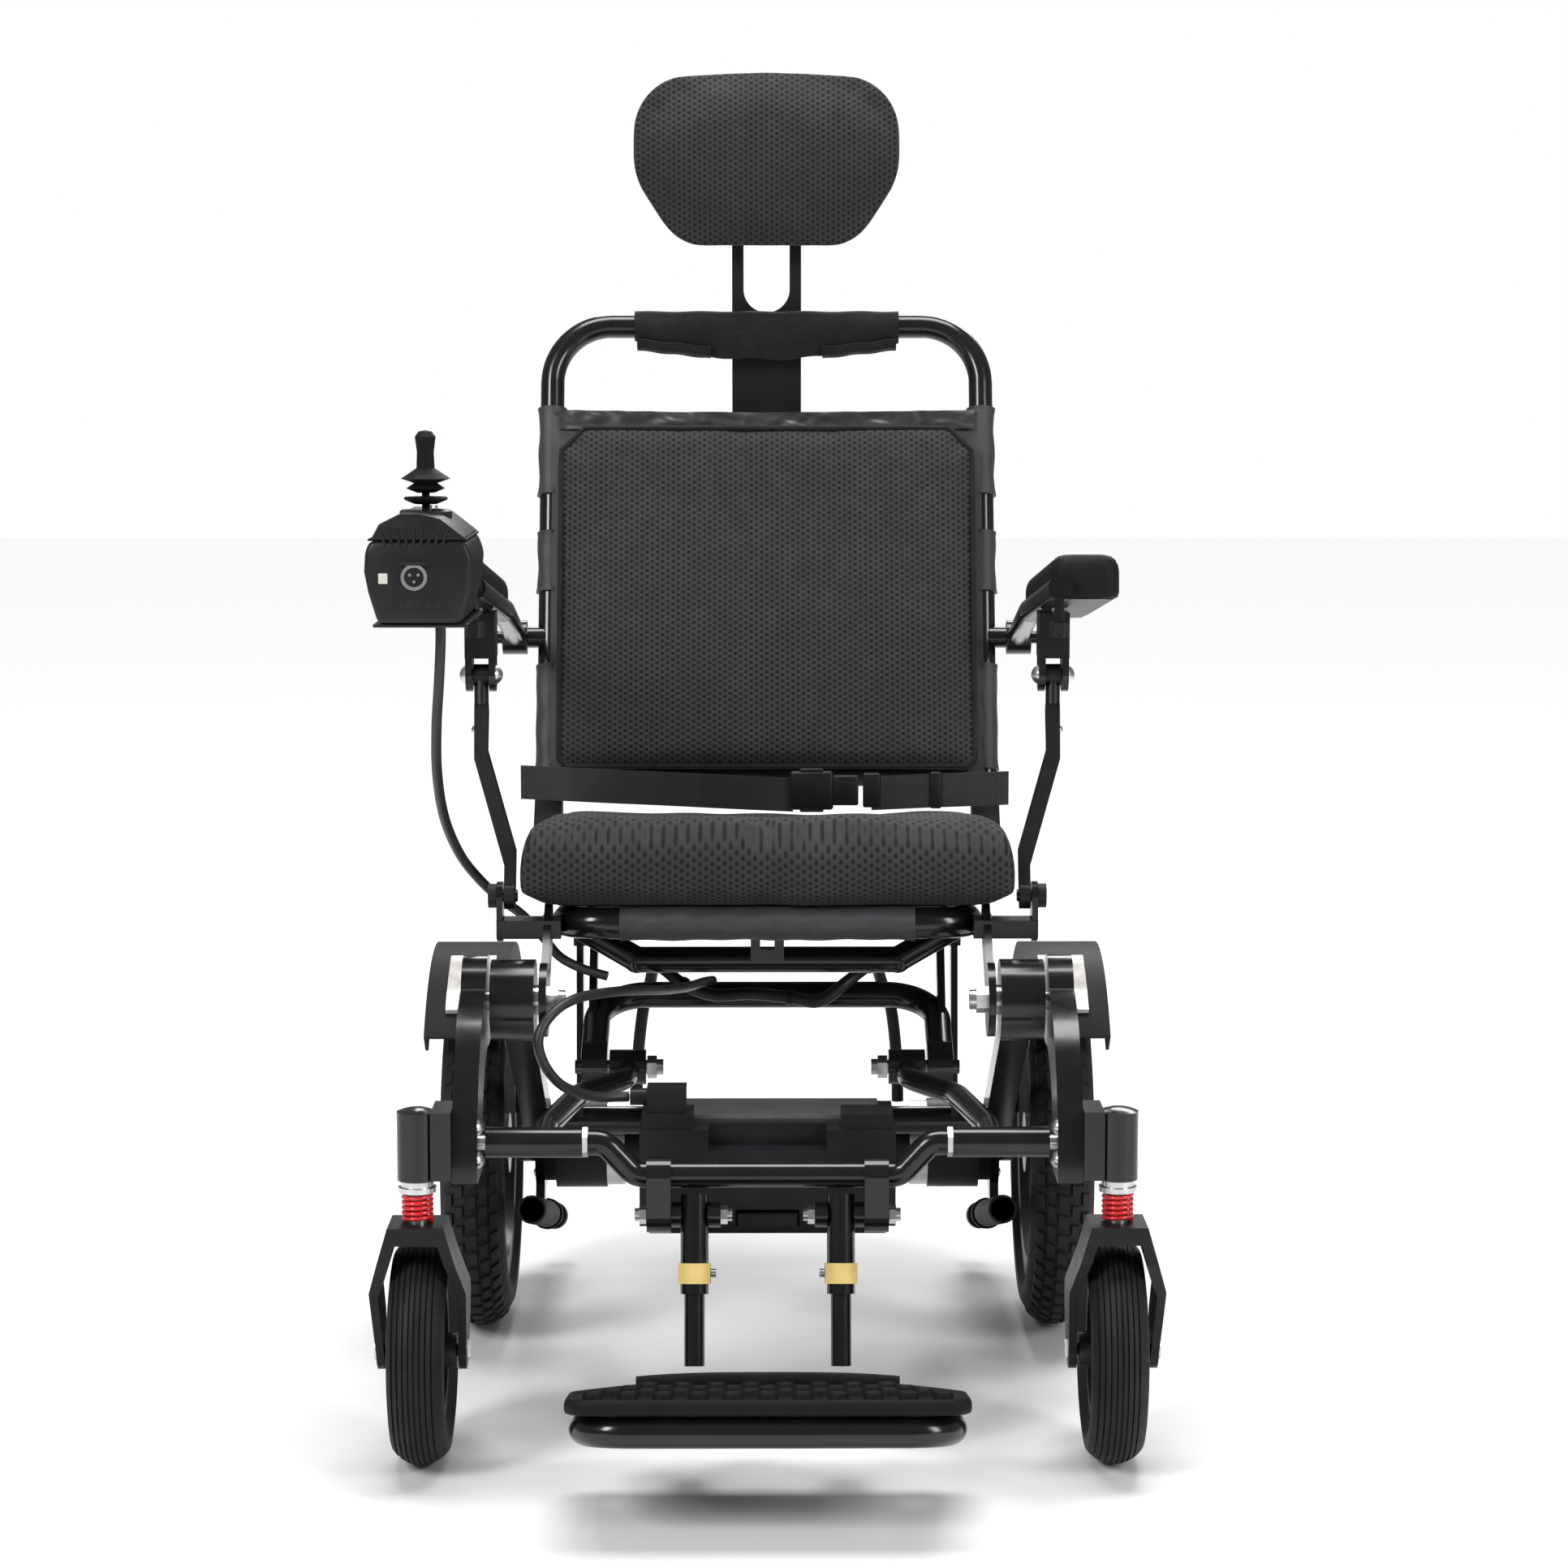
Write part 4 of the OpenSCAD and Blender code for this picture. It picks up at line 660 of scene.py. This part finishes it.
back_sheet = sheet_grid("backrest_sling_cloth", lambda x, z, y: on_back(x, y, z), span(-202, 202, 36),
                        span(41, 397, 30), back_depth, 1.2, "nylon")
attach(back_sheet, "backrest")
band = sheet_grid("backrest_top_band", sagging, span(-196, 196, 150), span(383, 401.5, 12), band_depth, 1.0,
                  "nylon_band")
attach(band, "backrest")
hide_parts("backrest_sling")
for side, sign in SIDES:
    for k, (z0, z1) in enumerate(((58, 158), (228, 286), (322, 407))):
        rings = []
        for j, z in enumerate(span(z0, z1, 14)):
            ring = []
            for t in turn(28):
                ripple = 0.7 * math.sin(z / 7.0 + 2 * t) * (0.4 + 0.6 * math.sin(t * 2 + k))
                hem = 0.9 if j in (0, 14) else 0
                seam = 1.6 * max(0, -math.sin(t) - 0.2)
                r = 12.4 + ripple + hem + seam
                ring.append(on_back(sign * 203 + r * math.cos(t), r * math.sin(t), z))
            rings.append(ring)
        lofted(f"backrest_sleeve_{side}_{k + 1}", rings, "nylon", "backrest")

seat_sheet = sheet_grid("seat_sling_cloth", lambda x, y, z: V(x, y, rail_z(y) + z), span(-175, 175, 30),
                        span(223, 547, 26), lambda x, y: 13.5 - 2.0 * math.cos(x / 175 * math.pi / 2), 1.2,
                        "nylon")
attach(seat_sheet, "seat")
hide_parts("seat_sling")
rings = []
for j, x in enumerate(span(-122, 122, 60)):
    ring = []
    for t in turn(32):
        r = 14.1 + 0.35 * math.sin(x / 6.5 + 3 * t) + 0.3 * math.sin(x / 17) + (0.5 if j in (0, 60) else 0)
        ring.append(V(x, 200 + r * math.cos(t), 406 + r * math.sin(t)))
    rings.append(ring)
lofted("front_tube_sleeve", rings, "nylon", "seat")

bar_y = BACK_PIVOT[0] + PUSH_BAR_UP * math.sin(math.radians(BACK_LEAN))
bar_z = BACK_PIVOT[1] + PUSH_BAR_UP * math.cos(math.radians(BACK_LEAN))
cover_half = 125.5
rings = []
for x in span(-cover_half, cover_half, 56):
    drop = 15 + 16 * (1 - abs(x / cover_half) ** 2.2) + 1.2 * math.sin(x / 9)
    ring = []
    for t in turn(36):
        cy, cz = math.cos(t), math.sin(t)
        r = 14.3 + 0.4 * math.sin(x / 8 + 2 * t)
        y, z = bar_y + r * cy, bar_z + r * cz
        if cz < 0:
            z = bar_z + cz * drop
            y = bar_y + r * cy * (1 - 0.45 * cz * cz) - 2.5 * cz * cz
        ring.append(V(x, y, z))
    rings.append(ring)
cover = lofted("push_bar_cover_cloth", rings, "knit_cover", "backrest")
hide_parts("push_bar_cover")
for side, sign in SIDES:
    rings = []
    for t in span(0, 1, 14):
        x = sign * (123 - 70 * t)
        low = bar_z - 20.5 - 7.5 * t + 0.5 * math.sin(14 * t)
        rings.append([V(x, bar_y - 12.5, low + 9), V(x, bar_y - 15.4, low + 8), V(x, bar_y - 13.6, low),
                      V(x, bar_y - 5, low - 2.5), V(x, bar_y - 5, low + 1)])
    lofted(f"cover_flap_{side}", rings, "knit_cover", "backrest", angle=60)

# ---------- lap belt ----------

def strap(name, x0, x1, middle_z, half=15.5, thick=1.8, n=40):
    """Strap across the chair whose width stands up; middle_z gives the height of its middle."""
    rings = []
    for x in span(x0, x1, n):
        y, z = 553.2 + 0.8 * math.sin(x / 19), middle_z(x)
        near, away = y - thick / 2, y + thick / 2
        rings.append([V(x, near, z - half), V(x, near, z + half), V(x, away, z + half), V(x, away, z - half)])
    o = lofted(name, rings, "webbing", None)
    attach(o, "seat")
    return o


belt_left = strap("lap_belt_left", -226, 24, lambda x: 476.5 - 6 * (x + 101) / 125)
belt_right = strap("lap_belt_right", 96, 222, lambda x: 472 + 5 * (x - 96) / 126)
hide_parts("lap_belt")
belt_parts = [belt_left, belt_right]
for name, low, high, bevel in (("buckle_body", (21, 547.6, 457), (61, 556.4, 493), 3),
                               ("buckle_tongue", (60, 549, 461), (84, 555.2, 489), 2),
                               ("buckle_button_top", (30, 548.4, 491), (52, 555.4, 495.4), 1.5),
                               ("buckle_button_low", (30, 548.4, 455), (52, 555.4, 459), 1.5),
                               ("belt_slider", (88, 549.8, 459), (104, 555.6, 491), 2),
                               ("belt_slider_far", (150, 550.4, 458), (160, 555.6, 492), 1.5)):
    o = block(name, low, high, "black_plastic", "seat", bevel)
    if name == "buckle_body":
        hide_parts("belt_buckle")
    belt_parts.append(o)
for o in belt_parts:
    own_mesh(o)

# ---------- tyres and caster springs ----------

def revolve(name, profile, centre, n, finish, body, **look):
    """Turns a closed loop of (radius, x offset) round a line along x."""
    x, y, z = centre
    rings = [[V(x + dx, y + r * math.cos(a), z + r * math.sin(a)) for r, dx in profile] for a in turn(n)]
    return looped(name, rings, finish, body, **look)


def tread_profile(r_out, crown, half, seat_r, seat_half, n=40):
    """Section of a round tyre: r_out at its middle, crown is the radius of the section."""
    lim = math.asin(half / crown)
    c = r_out - crown
    top = [(c + crown * math.cos(a), crown * math.sin(a)) for a in span(-lim, lim, n)]
    shoulder = c + crown * math.cos(lim) - 12
    return [(seat_r, -seat_half), (shoulder, -half)] + top + [(shoulder, half), (seat_r, seat_half)]


def grooved_profile(crown=26, half=21.5, groove_half=17.5, pitch=4.375, n=96):
    """Section of a caster tyre with shallow grooves round it."""
    top = []
    for off in span(-half, half, n):
        r = 64 + math.sqrt(crown ** 2 - off * off)
        if abs(off) < groove_half and (off + groove_half) % pitch < 1.0:
            r -= 1.5
        top.append((r, off))
    return [(61, -15.5), (70, -22.6)] + top + [(70, 22.6), (61, 15.5)]


def knobs(x0, sign, count=54, crown=30, crown_at=130.3, height=3.1):
    """Tapered blocks in five rows round a rear tyre."""
    verts, faces = [], []
    rows = ((0, 5.5, 0, 0.042), (-10.5, 4, 0.5, 0.036), (10.5, 4, 0.5, 0.036), (-19.5, 3.6, 0, 0.04),
            (19.5, 3.6, 0, 0.04))
    for k in range(count):
        for across, half_w, shift, half_a in rows:
            middle = 2 * math.pi * (k + shift) / count
            b = len(verts)
            for shrink_w, shrink_a, rise in ((1.0, 1.0, -1), (0.8, 0.82, height)):
                for da in (-half_a, half_a):
                    for dw in (-half_w, half_w):
                        off = across + dw * shrink_w
                        r = (crown_at + math.sqrt(max(0, crown ** 2 - off * off))) + rise
                        a = middle + da * shrink_a + sign * dw * 0.0012
                        y, z = REAR_WHEEL[1] + r * math.cos(a), REAR_WHEEL[2] + r * math.sin(a)
                        verts.append(V(x0 + off, y, z))
            faces += [tuple(b + i for i in face) for face in BOX_FACES]
    return verts, faces


for side, sign in SIDES:
    x0 = sign * REAR_WHEEL[0]
    profile = tread_profile(160.3, 30, 27.6, 119.5, 17)
    tyre = revolve(f"rear_tyre_{side}_tread", profile, (x0, *REAR_WHEEL[1:]), 128, "tyre_rubber",
                   f"rear_wheel_{side}")
    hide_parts(f"rear_tyre_{side}")
    v, f = knobs(x0, sign)
    add(f"rear_tyre_{side}_knobs", v, f, "tyre_rubber", f"rear_wheel_{side}", smooth=False)

    xc = sign * CASTER[0]
    tyre = revolve(f"caster_tyre_{side}_tread", grooved_profile(), (xc, *CASTER[1:]), 112, "tyre_rubber",
                   f"caster_wheel_{side}", angle=30)
    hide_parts(f"caster_tyre_{side}")

    turns, steps, coil_r, coil_low, coil_h = 5, 36, 11, 202.7, 20.4
    pts = [V(xc + coil_r * math.cos(2 * math.pi * k / steps), coil_r * math.sin(2 * math.pi * k / steps),
             coil_low + coil_h * k / (steps * turns)) for k in range(steps * turns + 1)]
    coil = tube(f"caster_coil_{side}", pts, 1.65, "spring_red", f"caster_swivel_{side}", 10)
    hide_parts(f"caster_spring_{side}")
    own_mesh(coil)

# ---------- cords ----------

def cord(name, node, route, radius, body, n=6, **facts):
    """A cord along the route in millimetres; gives the points of its smooth path."""
    pts = smooth_path([V(*p) for p in route], n)
    curve = bpy.data.curves.new(name, "CURVE")
    curve.dimensions = "3D"
    s = curve.splines.new("POLY")
    s.points.add(len(pts) - 1)
    for q, p in zip(s.points, pts):
        q.co = (*p, 1)
    curve.bevel_depth = radius / 1000
    curve.bevel_resolution = 4
    curve.use_fill_caps = True
    curve.materials.append(M["cable_jacket"])
    o = bpy.data.objects.new(name, curve)
    scene.collection.objects.link(o)
    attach(o, body)
    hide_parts(node)
    return pts


lead_route = [(-113.4, 136, 273), (-122, 133, 273.5), (-136, 124, 275), (-152, 110, 281), (-168, 94, 293),
              (-180, 86, 312), (-183, 86, 332), (-172, 98, 349), (-154, 120, 357), (-130, 160, 355),
              (-108, 210, 348), (-88, 270, 338), (-70, 330, 330), (-56, 380, 326), (-48, 400, 324)]
harness_route = [(118, 472, 201), (117, 474, 240), (112, 475, 285), (104, 473, 308), (98, 462, 326),
                 (92, 440, 330), (84, 418, 330), (70, 402, 322), (46, 396, 306), (20, 398, 309),
                 (-14, 400, 312), (-48, 400, 311), (-74, 404, 320), (-90, 418, 330), (-98, 440, 330),
                 (-102, 462, 326), (-106, 473, 308), (-112, 475, 285), (-117, 474, 240), (-118, 472, 201)]
cable_route = [(-256, 60, 669.4), (-256, 60, 650), (-258, 66, 620), (-262, 84, 580), (-264, 110, 540),
               (-262, 150, 500), (-254, 200, 464), (-242, 250, 436), (-228, 300, 412), (-212, 350, 390),
               (-196, 378, 366), (-182, 384, 348), (-162, 380, 338), (-140, 376, 332)]
cord("battery_lead_cord", "battery_lead", lead_route, 4.2, "rear_frame", stiffness="medium", lay="hanging")
harness = cord("wiring_harness_cord", "wiring_harness", harness_route, 5.5, "rear_frame", stiffness="medium",
               lay="loose")
cord("joystick_cord", "joystick_cable", cable_route, 4.2, "seat", stiffness="medium", lay="hanging")
for k, i in enumerate((30, 54, 72)):
    a, b = harness[i], harness[i + 1]
    d = (b - a).normalized() * 0.0022
    tie = [a - d, a - d * 0.9, a + d * 0.9, a + d]
    tube(f"cable_tie_{k + 1}", tie, 6.6, "black_plastic", "rear_frame", 14)

# ---------- arm pads ----------

PAD_LENGTH = 315


def arm_pad_outline(inset):
    x0, x1, y0, y1, r = 228 + inset, 284 - inset, inset, PAD_LENGTH - inset, max(3, 14 - inset * 0.5)
    return (corner_arc(x1 - r, y1 - r, r, 0) + corner_arc(x0 + r, y1 - r, r, 90)
            + corner_arc(x0 + r, y0 + r, r, 180) + corner_arc(x1 - r, y0 + r, r, 270))


pad_section = ((5, 0.4), (1.2, 1.6), (0.2, 5), (0.2, 14), (0.2, 22), (1.0, 27), (3.2, 31.4), (6.5, 34.4),
               (11, 35.6), (18, 36))
for side, sign in SIDES:
    rings = [[on_pad(sign * x, y, h) for x, y in arm_pad_outline(inset)] for inset, h in pad_section]
    p = lofted(f"arm_pad_{side}", rings, "soft_rubber", f"armrest_{side}", flip=sign < 0, angle=60)
    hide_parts(f"armrest_pad_{side}")
    rings = [[on_pad(sign * x, y, h) for x, y in arm_pad_outline(6)] for h in (-0.8, 0.8)]
    lofted(f"arm_pad_plate_{side}", rings, "black_plastic", f"armrest_{side}", flip=sign < 0)

# ---------- joystick ----------

case_outline = [(-294, 673), (-231, 673), (-224, 700), (-222, 722), (-228, 738), (-246, 752), (-262, 756),
                (-276, 756), (-292, 748), (-303, 728), (-304, 712), (-301, 696)]
FRONT = (-50.5, -49.6)          # depths of the thin marks on the front of the case


def clipped(outline, z_low, z_high):
    """The part of an outline between two heights."""
    out = []
    for k, a in enumerate(outline):
        b = outline[(k + 1) % len(outline)]
        if z_low <= a[1] <= z_high:
            out.append(a)
        for cut in (z_low, z_high):
            if (a[1] - cut) * (b[1] - cut) < 0:
                t = (cut - a[1]) / (b[1] - a[1])
                out.append((a[0] + t * (b[0] - a[0]), cut))
    return out


def on_case(name, low, high, finish="tyre_rubber", bevel=0.4):
    """A thin mark on the front of the case, from low to high in (x, z)."""
    block(name, (low[0], FRONT[0], low[1]), (high[0], FRONT[1], high[1]), finish, "armrest_left", bevel)


for name, low, high, node in (("joystick_case_shell", 600, 735.6, "joystick_case"),
                              ("joystick_cover_shell", 736.4, 800, "joystick_cover")):
    o = outline_prism(name, clipped(case_outline, low, high), -50, 74, "black_plastic")
    bevelled(o, 4.5, 4, 25)
    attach(o, "armrest_left")
    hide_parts(node)
block("case_seam", (-301, -47.5, 735.2), (-226, 71.5, 736.8), "soft_rubber", "armrest_left", 0.5)
block("case_plate", (-298, -46, 669.6), (-226, 98, 672.6), "frame_paint", "armrest_left", 1)
block("case_bracket", (-241, 90, 672), (-229, 98, 700), "frame_paint", "armrest_left", 2)
tube("case_rod", [V(-235, y, 690) for y in (92, 93, 123, 124)], 8, "frame_paint", "armrest_left", 24)

sx, sz = SOCKET
rim = ((7.4, -51.4), (10, -51.4), (10, -49.6), (7.4, -49.6))
rings = [[V(sx + r * math.cos(a), y, sz + r * math.sin(a)) for r, y in rim] for a in turn(32)]
looped("socket_ring", rings, "zinc", "armrest_left", flip=True)
tube("socket_face", [V(sx, y, sz) for y in (-50.4, -50.1)], 7.4, "tyre_rubber", "armrest_left", 28)
for k, (dx, dz) in enumerate(((-3.2, 1.8), (3.2, 1.8), (0, -3.4))):
    pin = [V(sx + dx, y, sz + dz) for y in (-51.6, -50.2)]
    tube(f"socket_pin_{k + 1}", pin, 1.2, "zinc", "armrest_left", 10)
for k in range(5):
    on_case(f"vent_low_{k + 1}", (-289 + k * 10.5, 681.5), (-281 + k * 10.5, 683.8))
    on_case(f"vent_mid_{k + 1}", (-283 + k * 7.4, 687), (-280.4 + k * 7.4, 691))
for k in range(9):
    lean = (k - 4) * 1.1
    v = [V(sx + (k - 4) * 5.4 + dx + shift, y, z) for z, shift in ((732, 0), (746, lean)) for y in FRONT
         for dx in (-1, 1)]
    add(f"vent_high_{k + 1}", v, BOX_FACES, "tyre_rubber", "armrest_left", smooth=False)
block("socket_hood", (-277, -54, 717), (-255, -49.6, 719.5), "black_plastic", "armrest_left", 0.8)
on_case("charge_mark", (-293, 703), (-286, 711), "pale_plastic", 0.5)
collar = ((13.2, 749.5), (20, 749.5), (20.2, 755), (18.5, 756.2), (14, 756.2), (13.2, 755))
rings = [[V(STICK[0] + r * math.cos(a), STICK[1] + r * math.sin(a), z) for r, z in collar] for a in turn(40)]
looped("stick_collar", rings, "black_plastic", "armrest_left", flip=True)

# ---------- footplate ----------

PLATE_HALF = (151, 75)          # half its width and half its depth
plate_outline = (corner_arc(131, 20, 20, 270)
                 + [(151, 78), (138, 100), (118, 128), (100, 149)]
                 + [(-100, 149), (-118, 128), (-138, 100), (-151, 78)]
                 + corner_arc(-131, 20, 20, 180))


def plate_inset(d):
    """The outline drawn in by d, more or less evenly."""
    out = []
    for x, y in plate_outline:
        vx, vy = x / PLATE_HALF[0], (y - PLATE_HALF[1]) / PLATE_HALF[1]
        q = math.hypot(vx, vy)
        out.append((x - d * vx / q, y - d * vy / q))
    return out


plate_section = ((4, -12), (1, -11), (0, -8.5), (0, -4), (1.2, -1.2), (4, 0), (7, -0.6), (10, -1.2))
plate = lofted("footplate_board", [[on_plate(x, y, z) for x, y in plate_inset(d)] for d, z in plate_section],
               "soft_rubber", "footrest_slider", angle=50)
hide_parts("footplate")

stud_section = ((7.8, -1.6), (7.6, 2.2), (6.9, 3.6), (5.0, 4.3), (2.0, 4.4))
stud_sides, stud_pitch, row_pitch = 16, 26, 28
verts, faces = [], []
for row in range(4):
    for k in range(-5, 6):
        x, y = (k + (row % 2) * 0.5) * stud_pitch, 24 + row * row_pitch
        if abs(x) < 138 - row * 10:
            faces += loft_faces(len(stud_section), stud_sides, len(verts))
            verts += [on_plate(x + r * math.cos(t), y + r * 0.85 * math.sin(t), z) for r, z in stud_section
                      for t in turn(stud_sides)]
add("footplate_studs", verts, faces, "soft_rubber", "footrest_slider", angle=60)

rings = []
for x in [-102, -101, -97, -88] + list(range(-80, 81, 8)) + [88, 97, 101, 102]:
    top = 8.8 - 3.2 * (abs(x) / 102) ** 3
    w = 3.4 if abs(x) < 101 else 2.2
    section = ((-w, -3), (-w, top - 2), (-w * 0.5, top), (w * 0.5, top), (w, top - 2), (w, -9))
    rings.append([on_plate(x, 146 + dy, z) for dy, z in section])
lofted("footplate_lip", rings, "soft_rubber", "footrest_slider", angle=60)

# ---------- floor, light, camera ----------

def brighter_far_off(m, start=1.4, end=4.0, most=0.75):
    """Makes up, to the camera only, for the light that the far floor lacks."""
    t = m.node_tree
    far = t.nodes.new("ShaderNodeVectorMath")
    far.operation = "LENGTH"
    t.links.new(t.nodes.new("ShaderNodeTexCoord").outputs["Object"], far.inputs[0])
    rise = t.nodes.new("ShaderNodeMapRange")
    rise.inputs["From Min"].default_value = start
    rise.inputs["From Max"].default_value = end
    rise.inputs["To Max"].default_value = most
    t.links.new(far.outputs["Value"], rise.inputs["Value"])
    seen_only = t.nodes.new("ShaderNodeMath")
    seen_only.operation = "MULTIPLY"
    t.links.new(rise.outputs[0], seen_only.inputs[0])
    t.links.new(t.nodes.new("ShaderNodeLightPath").outputs["Is Camera Ray"], seen_only.inputs[1])
    shader = t.nodes["Principled BSDF"]
    shader.inputs["Emission Color"].default_value = (1, 1, 1, 1)
    t.links.new(seen_only.outputs[0], shader.inputs["Emission Strength"])


FLOOR_HALF = 14          # metres
ends = (-FLOOR_HALF, FLOOR_HALF)
me = bpy.data.meshes.new("floor")
me.from_pydata([(x, y, 0) for x in ends for y in ends], [], [(0, 2, 3, 1)])
floor = bpy.data.objects.new("floor", me)
scene.collection.objects.link(floor)
pale = material("floor", (0.86, 0.86, 0.86), 0.6, vary=0.01, scale=3, rough_vary=0.05,
                bumps=[("noise", 60, 0.02, 0.3)])
brighter_far_off(pale)
me.materials.append(pale)

# The camera sees a white backdrop, while the chair is lit and mirrored by a much darker one
world = bpy.data.worlds.new("studio")
scene.world = world
world.use_nodes = True
wt = world.node_tree
soft = wt.nodes["Background"]
soft.inputs["Color"].default_value = (1, 1, 1, 1)
soft.inputs["Strength"].default_value = 0.22
seen = wt.nodes.new("ShaderNodeBackground")
seen.inputs["Color"].default_value = (1, 1, 1, 1)
seen.inputs["Strength"].default_value = 1.0
path = wt.nodes.new("ShaderNodeLightPath")
pick = wt.nodes.new("ShaderNodeMixShader")
wt.links.new(path.outputs["Is Camera Ray"], pick.inputs[0])
wt.links.new(soft.outputs[0], pick.inputs[1])
wt.links.new(seen.outputs[0], pick.inputs[2])
wt.links.new(pick.outputs[0], wt.nodes["World Output"].inputs["Surface"])


def area_light(name, at, to, size, power):
    """A soft box at one place, in metres, turned towards another."""
    d = bpy.data.lights.new(name, "AREA")
    d.shape = "RECTANGLE"
    d.size, d.size_y = size
    d.energy = power
    o = bpy.data.objects.new(name, d)
    scene.collection.objects.link(o)
    o.location = at
    o.rotation_euler = (Vector(to) - Vector(at)).to_track_quat("-Z", "Y").to_euler()


area_light("key", (-2.2, -2.6, 2.6), (0, 0, 0.5), (0.9, 1.6), 95)
area_light("fill", (2.6, -2.2, 1.8), (0, 0, 0.5), (0.8, 1.8), 60)
area_light("top", (0, 0.2, 3.2), (0, 0, 0.4), (2.2, 1.2), 90)
area_light("rear", (0.5, 2.6, 2.4), (0, 0, 0.6), (2.2, 1.0), 55)

cam = bpy.data.cameras.new("camera")
cam.lens = 86.8
cam.sensor_width = 36
camera = bpy.data.objects.new("camera", cam)
scene.collection.objects.link(camera)
camera.location = V(-2.43, -2895.8, 884.24)
camera.rotation_euler = (math.radians(90 - 6.674), 0, math.radians(-0.30))
scene.camera = camera
scene.view_settings.view_transform = "Standard"
